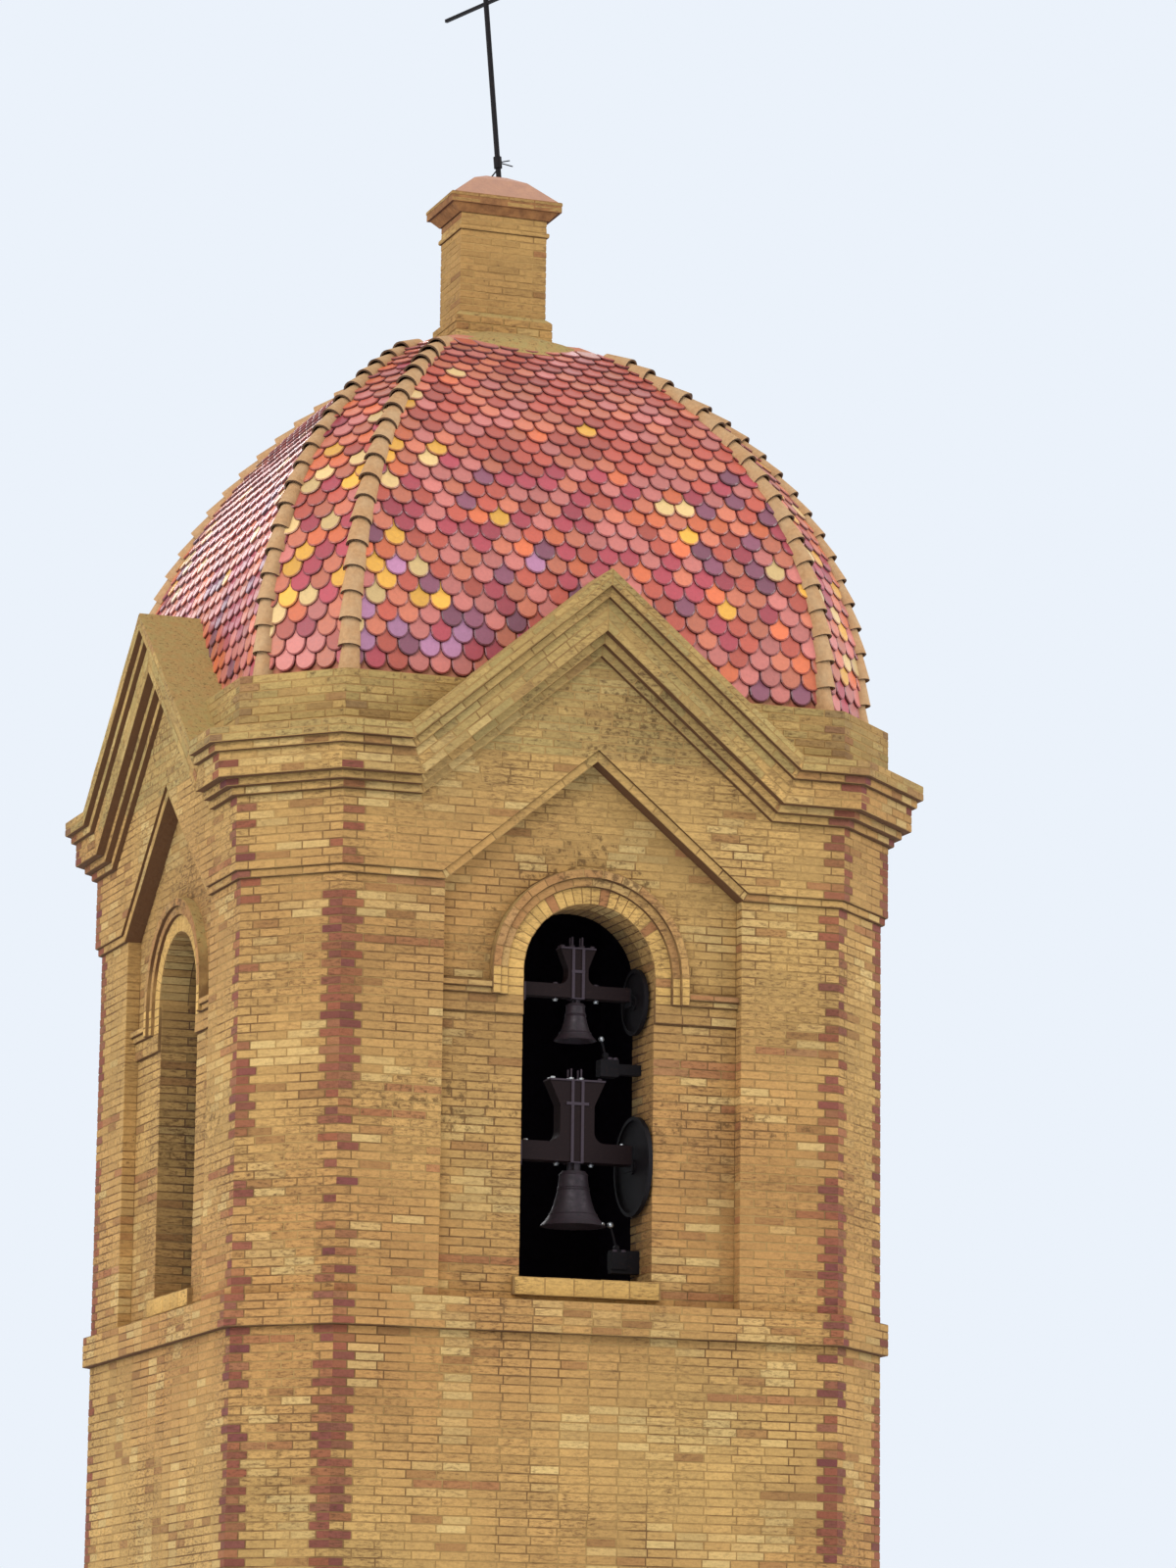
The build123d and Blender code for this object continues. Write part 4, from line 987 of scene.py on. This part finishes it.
class TOWER_OT_turn_arches(bpy.types.Operator):
    """Lays the voussoirs, the arch mouldings, the soffits and the imposts."""
    bl_idname = "tower.turn_arches"
    bl_label = "Turn the Arches"

    def execute(self, context):
        arches = BrickLayer(31)
        stilt = SPRINGING - IMPOST_LOW - IMPOST_STEPS[1][1]
        for side in WIDE_SIDES:
            for number, (face, count) in enumerate(zip(RING_FACES, RING_COUNTS)):
                inner, outer = RING_EDGES[number:number + 2]
                axes = side_axes(side, distance=face)
                arches.ring(axes, inner, outer, count, yellow=number == 0, plum=number > 0)
                for hand in (-1, 1):
                    for row in range(3):
                        arches.half_row(axes, hand, inner, outer,
                                        SPRINGING - stilt * (row + 1) / 3,
                                        SPRINGING - stilt * row / 3, yellow=True, length=1)
            arches.soffit(side_axes(side, distance=RECESS), OPENING_HALF, WALL_INSIDE,
                          RING_FACES[0], RING_COUNTS[0])
        arches.finish("arch_bricks", "arch_brick")

        imposts = BrickLayer(32)
        for side in WIDE_SIDES:
            for low, high, out in IMPOST_STEPS:
                axes = side_axes(side, distance=RECESS + out)
                inner = OPENING_HALF if out < 0.03 else RING_EDGES[-1]
                for hand in (-1, 1):
                    imposts.half_row(axes, hand, inner, PIER_INNER, IMPOST_LOW + low,
                                     IMPOST_LOW + high)
        imposts.finish("impost_bricks")
        return {"FINISHED"}


class TOWER_OT_lay_entablature(bpy.types.Operator):
    """Lays the string course, the frieze, the cornice, the coping and the parapet."""
    bl_idname = "tower.lay_entablature"
    bl_label = "Lay the Entablature"

    def execute(self, context):
        mouldings = BrickLayer(41)
        for low, high, courses in ((STRING, FRIEZE, 1), (BED_LOWER, BED_UPPER, 1),
                                   (BED_UPPER, FASCIA, 1), (FASCIA, FILLET, 3),
                                   (FILLET, COPING, 1), (COPING, COPING_TOP, 2)):
            lay_climbing(mouldings, low, high, courses)
        mouldings.finish("moulding_bricks")

        frieze = BrickLayer(42)
        lay_sides(frieze, FRIEZE[0], FRIEZE[1], BED_LOWER[1], sides=NARROW_SIDES)
        for side in WIDE_SIDES:
            self.lay_frieze(frieze, side)
        frieze.finish("frieze_bricks")

        parapet = BrickLayer(43)
        lay_sides(parapet, PARAPET_OUT, COPING_TOP[1], PARAPET_TOP, sides=NARROW_SIDES)
        half = side_half(0, PARAPET_OUT)
        for side in WIDE_SIDES:
            axes = side_axes(side, PARAPET_OUT)
            for hand in (-1, 1):
                slope = rake_plane(axes, COPING_TOP, hand, False)
                for row, low, high in level_courses(parapet, COPING_TOP[1], PARAPET_TOP):
                    parapet.half_row(axes, hand, reach_at(COPING_TOP, high), half, low, high,
                                     last=quoin_length(row, parapet.look, side), corner=1,
                                     cuts=[slope])
        parapet.finish("parapet_bricks")
        return {"FINISHED"}

    def lay_frieze(self, frieze, side):
        """The level courses of one frieze and its gable, between the two raked lines."""
        look = frieze.look
        axes = side_axes(side, FRIEZE[0])
        half = side_half(side, FRIEZE[0])
        step = (BED_LOWER[1] - FRIEZE[1]) / round((BED_LOWER[1] - FRIEZE[1]) / look.course)
        row, low = 0, FRIEZE[1]
        while low < BED_LOWER[3] - step:
            corner = low < BED_LOWER[1] - step / 2
            inner = reach_at(FRIEZE, low + step)
            outer = half if corner else reach_at(BED_LOWER, low)
            header = look.length / 2 if row % 2 else 0
            above = [rake_plane(axes, BED_LOWER, hand, True) for hand in (-1, 1)
                     if not corner]
            if inner > 0:
                end = quoin_length(row, look, side) if corner else header
                for hand in (-1, 1):
                    slope = rake_plane(axes, FRIEZE, hand, False)
                    frieze.half_row(axes, hand, inner, outer, low, low + step, last=end,
                                    corner=corner, cuts=[slope] + above)
            else:
                frieze.row(axes, -outer, outer, low, low + step, ends=(header, header),
                           cuts=above)
            low += step
            row += 1


class TOWER_OT_lay_pedestal(bpy.types.Operator):
    """Lays the bricks of the pedestal on the dome, and the mortar it stands in."""
    bl_idname = "tower.lay_pedestal"
    bl_label = "Lay the Pedestal"

    def execute(self, context):
        layer = BrickLayer(51)
        close = layer.look.joint / 2 + layer.look.proud
        foot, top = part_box("pedestal_shaft")[0].z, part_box("pedestal_shaft")[1].z
        half_x, half_y = 0.365, 0.255
        flare, astragal = foot + 0.225, top - 0.143
        # Out, foot, top and courses of the flared foot, shaft, astragal, neck and cap
        stages = ((0.045, foot + 0.03, flare, 3), (0, flare + 0.04, astragal, 12),
                  (0.018, astragal, astragal + 0.036, 1), (0, astragal + 0.036, top, 2),
                  (0.104, top + 0.065, top + 0.110, 1), (0.110, top + 0.116, top + 0.15, 1))
        for out, low, high, courses in stages:
            # The cap juts out less at the front and the back
            halves = (half_x + out, half_y + out * (0.7 if out > 0.1 else 1))
            for side in WIDE_SIDES:
                half, distance = halves if side in (0, 4) else halves[::-1]
                axes = side_axes(side, distance=distance)
                for row, bottom, upper in level_courses(layer, low, high, courses):
                    end = layer.look.length / 2 if (row + side // 2) % 2 else 0
                    layer.row(axes, -half - close, half + close, bottom, upper,
                              ends=(end, end))
        layer.finish("pedestal_bricks")

        # The mound of mortar that the pedestal stands in, over the tiles' upper ends, and
        # the core of the pedestal's flared foot
        bed = bmesh.new()
        for low, high, wide, narrow in ((foot - 0.26, foot - 0.096, 1.02, 0.86),
                                        (foot - 0.096, foot + 0.08, 0.86, 0.40)):
            bmesh.ops.create_cone(bed, cap_ends=True, segments=64, radius1=wide,
                                  radius2=narrow, depth=high - low,
                                  matrix=Matrix.Translation((0, 0, (low + high) / 2)))
        for low, high, above in ((foot, flare, 0.042), (flare, flare + 0.04, 0)):
            for corner in bmesh.ops.create_cube(bed, size=2)["verts"]:
                grow, level = (above, high) if corner.co.z > 0 else (0.042, low)
                corner.co = Vector((corner.co.x * (half_x + grow),
                                    corner.co.y * (half_y + grow), level))
        for corner in bed.verts:
            corner.co += corner.co.normalized() * 0.012 * noise.noise(corner.co * 9)
        finish_piece(bed, "mortar_mound", "lime mortar", smooth=50)
        return {"FINISHED"}


def climb(stretch, spacing, begin=0.0):
    """Distance from the axis, height and upward direction at equal steps up the dome."""
    stops = []
    stride = 0.002                              # metres walked up the curve at a time
    travelled, height, wanted = 0.0, DOME_FOOT, begin
    while True:
        rise = max(0.0, height - DOME_SPRING) / DOME_RADIUS
        reach = stretch * (DOME_RADIUS * math.sqrt(1 - rise * rise) - DOME_BACK)
        upward = Vector((-stretch * rise, math.sqrt(1 - rise * rise))).normalized()
        if reach < stretch * TILE_TOP:
            return stops
        if travelled >= wanted:
            stops.append((reach, height, upward))
            wanted += spacing
        travelled += stride
        height += upward.y * stride


def slope_axes(out, reach, height, upward, tilt, lift):
    """Axes on the dome: run across, rise up the slope, out of the surface, tipped by tilt."""
    run = UP.cross(out)
    rise = out * upward.x + UP * upward.y
    normal = run.cross(rise)
    leant = rise * math.cos(tilt) - normal * math.sin(tilt)
    return axes_at(run, leant, run.cross(leant), out * reach + UP * height + normal * lift)


class TOWER_OT_hang_tiles(bpy.types.Operator):
    """Covers the dome's eight gores with glazed scale tiles."""
    bl_idname = "tower.hang_tiles"
    bl_label = "Hang the Scale Tiles"

    def execute(self, context):
        self.look = context.scene.tower_roof
        self.draw = random.Random(61)
        tile = self.cut_tile()
        for name, sides in (("wide_gore_tiles", WIDE_SIDES),
                            ("narrow_gore_tiles", NARROW_SIDES)):
            mesh = bmesh.new()
            mesh.faces.layers.float_color.new("Tile")
            for side in sides:
                gore = self.cover(tile, side)
                mesh.from_mesh(gore)
                bpy.data.meshes.remove(gore)
            finish_piece(mesh, name, "glazed tile")
        bpy.data.meshes.remove(tile)
        return {"FINISHED"}

    def cut_tile(self):
        """One tile: a slab with a half-round tip at the origin, rising along +Y."""
        look = self.look
        radius = look.width / 2
        mesh = bmesh.new()
        paint = mesh.faces.layers.float_color.new("Tile")
        bmesh.ops.create_circle(mesh, cap_ends=True, segments=16, radius=radius,
                                matrix=Matrix.Translation((0, radius, 0)))
        upper = [v for v in mesh.verts if v.co.y > radius + NEAR]
        bmesh.ops.delete(mesh, geom=upper, context="VERTS")
        rim = [v for v in mesh.verts if v.co.y > radius - NEAR]
        bmesh.ops.contextual_create(mesh, geom=mesh.edges[:])
        top_edge = [e for e in mesh.edges if all(v in rim for v in e.verts)]
        raised = bmesh.ops.extrude_edge_only(mesh, edges=top_edge)
        lifted = [g for g in raised["geom"] if isinstance(g, bmesh.types.BMVert)]
        bmesh.ops.translate(mesh, vec=(0, look.length - radius, 0), verts=lifted)
        bmesh.ops.dissolve_faces(mesh, faces=mesh.faces[:])
        bmesh.ops.recalc_face_normals(mesh, faces=mesh.faces[:])
        front = mesh.faces[:][0]
        if front.normal.z < 0:
            front.normal_flip()
        walls = bmesh.ops.extrude_face_region(mesh, geom=[front], use_keep_orig=True)
        shifted = [g for g in walls["geom"] if isinstance(g, bmesh.types.BMVert)]
        bmesh.ops.translate(mesh, vec=(0, 0, look.thickness), verts=shifted)
        back = [f for f in mesh.faces if f.calc_center_median().z < NEAR / 4]
        bmesh.ops.delete(mesh, geom=back, context="FACES_ONLY")
        front = [f for f in mesh.faces if f.calc_center_median().z > look.thickness - NEAR / 4]
        bmesh.ops.inset_individual(mesh, faces=front, thickness=0.010, depth=0)
        for corner in front[0].verts:
            corner.co.z += 0.006
        # The sloping rim and the broken edges are painted darker: less glaze and dirt on them, and
        # painted shade for the dark lines under and between the tiles
        for face in mesh.faces:
            face.normal_update()
            face[paint] = (0.16, 0.07, 0.09, 1)
            if face.normal.z > 0.5:
                face[paint] = (1, 1, 1, 1) if face.normal.z > 0.99 else (0.55, 0.36, 0.38, 1)
        data = bpy.data.meshes.new("tile")
        mesh.to_mesh(data)
        mesh.free()
        return data

    def cover(self, tile, side):
        """Rows of staggered tiles up one gore, cut along its two hips."""
        look, draw = self.look, self.draw
        mesh = bmesh.new()
        mesh.faces.layers.float_color.new("Tile")
        stretch, slant = (NARROW_STRETCH, NARROW_SLANT) if side % 2 else (1, HIP_SLANT)
        out = side_out(side)
        run = UP.cross(out)
        stops = climb(stretch, look.exposure, 0.05)
        tilt = math.atan(TILE_LIFT / look.length)
        for row, (reach, height, upward) in enumerate(stops):
            half = slant * reach
            shift = look.pitch / 2 * (row % 2)
            count = int((half + look.width) / look.pitch) + 1
            for number in range(-count, count + 1):
                across = number * look.pitch + shift
                if abs(across) > half + look.width / 2 - HIP_GAP:
                    continue
                # Each tile lies a little crooked, and up to 3 mm out of its place
                axes = slope_axes(out, reach, height, upward,
                                  tilt + draw.uniform(-0.012, 0.012),
                                  0.010 + draw.uniform(-0.002, 0.002))
                turn = Matrix.Rotation(draw.uniform(-0.02, 0.02), 4, "Z")
                spot = Matrix.Translation((across + draw.uniform(-0.002, 0.002),
                                           draw.uniform(-0.003, 0.003), 0))
                shade = self.colour(side, across / max(half, NEAR), row / len(stops),
                                    out * reach + run * across + UP * height)
                copy = tile.copy()
                copy.transform(axes @ spot @ turn)
                for painted in copy.attributes["Tile"].data:
                    painted.color = [a * b for a, b in zip(shade, painted.color)]
                mesh.from_mesh(copy)
                bpy.data.meshes.remove(copy)
        for hand in (-1, 1):
            normal = (run * hand - out * slant).normalized()
            geom = mesh.faces[:] + mesh.edges[:] + mesh.verts[:]
            bmesh.ops.bisect_plane(mesh, geom=geom, plane_co=normal * -HIP_GAP,
                                   plane_no=normal, clear_outer=True)
        gore = bpy.data.meshes.new("gore")
        mesh.to_mesh(gore)
        mesh.free()
        return gore

    def colour(self, side, across, share, place):
        """A tile's colour: reds above, pinks and purples below, and most yellows on the
        narrow gores and by the left hips of the wide ones."""
        look, draw = self.look, self.draw
        patch = noise.noise(place * 1.4)
        yellow = 0.03 + 0.07 * max(0, patch)
        if side % 2 == 0 and across < -0.6 and 0.1 < share < 0.8:
            yellow += 0.2
        if side % 2 and 0.05 < share < 0.8:
            yellow += 0.2
        if share > 0.7:
            yellow *= 0.3
        if draw.random() < yellow:
            picks = "yellow yellow cream cream orange"
        elif side % 2:
            picks = "brick_red coral rose orange coral magenta"
        elif share > 0.50 + 0.2 * patch:
            picks = "brick_red coral rose brick_red coral"
        elif share > 0.24 + 0.2 * patch or across > 0.35:
            picks = ("coral rose magenta rose brick_red coral orange brick_red magenta"
                     " purple")
        else:
            picks = "magenta lilac rose purple rose coral brick_red"
        shade = getattr(look, draw.choice(picks.split()))
        value = draw.uniform(0.80, 1.25)
        return [c * value for c in shade] + [1]


class TOWER_OT_bed_hip_tiles(bpy.types.Operator):
    """Beds a line of tapered barrel tiles on each of the eight hips."""
    bl_idname = "tower.bed_hip_tiles"
    bl_label = "Bed the Hip Tiles"

    def execute(self, context):
        look = context.scene.tower_roof
        draw = random.Random(71)
        length = look.hip_exposure + 0.05
        lying = Matrix.Translation((0, length / 2, 0)) @ Matrix.Rotation(-math.pi / 2, 4, "X")
        mesh = bmesh.new()
        for number in range(8):
            turn = math.atan2(HIP_SLANT, 1) if number % 2 == 0 else math.atan2(1, HIP_SLANT)
            turn += math.pi / 2 * (number // 2)
            out = Vector((math.sin(turn), -math.cos(turn), 0))
            for reach, height, upward in climb(HIP_REACH, look.hip_exposure):
                axes = slope_axes(out, reach, height, upward, math.atan(0.034 / length),
                                  0.002 + draw.uniform(-0.002, 0.002))
                lean = Matrix.Rotation(draw.uniform(-0.02, 0.02), 4, "Z")
                barrel = bmesh.ops.create_cone(mesh, cap_ends=False, segments=20,
                                               radius1=look.hip_radius,
                                               radius2=look.hip_radius - 0.020,
                                               depth=length, matrix=lying)["verts"]
                lower = [v for v in barrel if v.co.z < -0.030]
                rest = [v for v in barrel if v.co.z >= -0.030]
                bmesh.ops.delete(mesh, geom=lower, context="VERTS")
                bmesh.ops.transform(mesh, matrix=axes @ lean, verts=rest)
        for face in mesh.faces:
            face.normal_update()
        bmesh.ops.solidify(mesh, geom=mesh.faces[:], thickness=0.014)
        tiles = finish_piece(mesh, "hip_tiles", "ridge clay", smooth=40)
        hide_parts("dome_ribs")
        return {"FINISHED"}


def add_rod(mesh, start, end, radius, segments=16):
    """A round or six-sided bar between two points."""
    along = end - start
    turn = along.to_track_quat("Z", "Y").to_matrix().to_4x4()
    bmesh.ops.create_cone(mesh, cap_ends=True, segments=segments, radius1=radius,
                          radius2=radius, depth=along.length,
                          matrix=Matrix.Translation((start + end) / 2) @ turn)


def add_nut(mesh, place, up=1):
    """A six-sided nut on its washer; up is -1 for one that hangs under a beam."""
    seat = place + UP * up * WASHER[1]
    add_rod(mesh, place, seat, WASHER[0], 24)
    add_rod(mesh, seat, seat + UP * up * NUT[1], NUT[0], 6)


class TOWER_OT_dress_bells(bpy.types.Operator):
    """Adds the bells' moulding rings, the nuts, bright zinc where they catch the light and dull
    steel in shade, a painted highlight on the large bell's lip, and the hammers' bright balls.
    """
    bl_idname = "tower.dress_bells"
    bl_label = "Dress the Bells"

    def execute(self, context):
        for name, rise, mouth, height, hang, head, top, thick, tie, low, high in BELLS:
            axle = Vector((0, AXLE_Y, SILL_TOP + rise))
            rings = bmesh.new()
            # Share of the mouth's radius and of the height for each raised ring
            for out, down in ((0.432, 0.06), (0.472, 0.30), (0.485, 0.34), (0.725, 0.79)):
                middle = axle - UP * (hang + height * down)
                for lower, upper, centre in ((0, RING_OUT, -RING_HALF / 2),
                                             (RING_OUT, 0, RING_HALF / 2)):
                    bmesh.ops.create_cone(rings, cap_ends=False, segments=64,
                                          radius1=mouth * out + lower,
                                          radius2=mouth * out + upper, depth=RING_HALF,
                                          matrix=Matrix.Translation(middle + UP * centre))
            finish_piece(rings, name + "_bell_rings", "bell bronze",
                         name + "_bell", smooth=30)
            # Of the same nuts, those listed as catching the light are bright zinc and those in
            # shade dull steel: painted highlight and painted shade
            nuts, dull = bmesh.new(), bmesh.new()
            for across in (-head * 0.85, -0.040, 0.040, head * 0.85):
                for deep in (-thick / 4, thick / 4):
                    add_nut(nuts if name == "large" and across < 0.1 else dull,
                            axle + Vector((across, deep, top + 0.012)))
            for hand in (-1, 1):
                add_nut(nuts, axle + Vector((hand * tie, 0, low - 0.010)), -1)
                add_nut(dull, axle + Vector((hand * tie, 0, high)))
            if name == "large":
                for hand in (-1, 1):
                    add_nut(nuts, axle + Vector((hand * OUTER_NUT, 0, high)))
                # Where the hammer strikes, a small bright zinc spot on the lip stands for worn
                # metal and is a painted highlight of its glint
                turn = Matrix.Rotation(math.radians(-42), 4, "Z")
                worn = axle + turn @ Vector((mouth * 0.975, 0, 0))
                worn += UP * (0.013 - hang - height)
                bmesh.ops.create_uvsphere(nuts, u_segments=16, v_segments=8, radius=0.016,
                                          matrix=Matrix.Translation(worn) @ turn
                                          @ Matrix.Diagonal((0.45, 1.7, 0.8, 1)))
            for mesh, kind, finish in ((nuts, "nuts", "zinc plate"),
                                       (dull, "dull_nuts", "strap steel")):
                finish_piece(mesh, name + "_bell_" + kind, finish,
                             name + "_bell")
        lids = bmesh.new()
        for name, across, rise, radius, lid, bolts in HAMMERS:
            ball = bmesh.new()
            middle = Matrix.Translation((across, AXLE_Y, SILL_TOP + rise))
            bmesh.ops.create_uvsphere(ball, u_segments=24, v_segments=16,
                                      radius=radius + 0.0004, matrix=middle)
            finish_piece(ball, name + "_hammer_ball", "zinc plate",
                         name + "_hammer", smooth=60)
            for place in bolts:
                add_nut(lids, Vector((place, AXLE_Y - 0.035, SILL_TOP + lid)))
        finish_piece(lids, "hammer_unit_nuts", "strap steel")
        return {"FINISHED"}


class TOWER_OT_trim_cross(bpy.types.Operator):
    """Adds the two prongs and the stay at the foot of the iron cross."""
    bl_idname = "tower.trim_cross"
    bl_label = "Trim the Cross"

    def execute(self, context):
        trim = bmesh.new()
        for start, end, radius in (((0.030, 0, 15.134), (0.128, 0, 15.162), 0.005),
                                   ((0.030, 0, 15.134), (0.155, 0, 15.115), 0.005),
                                   ((0.032, 0, 15.085), (-0.045, 0, 14.98), 0.006)):
            add_rod(trim, Vector(start), Vector(end), radius)
        finish_piece(trim, "cross_prongs", "wrought iron", smooth=40)
        return {"FINISHED"}


class TOWER_PT_bell_tower(bpy.types.Panel):
    """Lists the tower's pieces."""
    bl_label = "Bell Tower"
    bl_idname = "TOWER_PT_bell_tower"
    bl_space_type = "VIEW_3D"
    bl_region_type = "UI"
    bl_category = "Bell Tower"

    def draw(self, context):
        for operator in OPERATORS:
            self.layout.operator(operator.bl_idname)


SETTINGS = {
    "tower_brickwork": BrickworkSettings,
    "tower_roof": RoofSettings,
    "tower_bells": BellSettings,
    "tower_stage": StageSettings,
}
OPERATORS = (TOWER_OT_set_stage, TOWER_OT_mix_finishes, TOWER_OT_lay_shaft,
             TOWER_OT_lay_belfry, TOWER_OT_turn_arches, TOWER_OT_lay_entablature,
             TOWER_OT_lay_pedestal, TOWER_OT_hang_tiles, TOWER_OT_bed_hip_tiles,
             TOWER_OT_dress_bells, TOWER_OT_trim_cross)


def register():
    for name, group in SETTINGS.items():
        bpy.utils.register_class(group)
        setattr(bpy.types.Scene, name, bpy.props.PointerProperty(type=group))
    for operator in OPERATORS:
        bpy.utils.register_class(operator)
    bpy.utils.register_class(TOWER_PT_bell_tower)


def unregister():
    bpy.utils.unregister_class(TOWER_PT_bell_tower)
    for operator in reversed(OPERATORS):
        bpy.utils.unregister_class(operator)
    for name, group in SETTINGS.items():
        delattr(bpy.types.Scene, name)
        bpy.utils.unregister_class(group)


def main():
    """Builds every piece in order."""
    register()
    for operator in OPERATORS:
        group, name = operator.bl_idname.split(".")
        getattr(getattr(bpy.ops, group), name)()


if __name__ == "__main__":
    main()
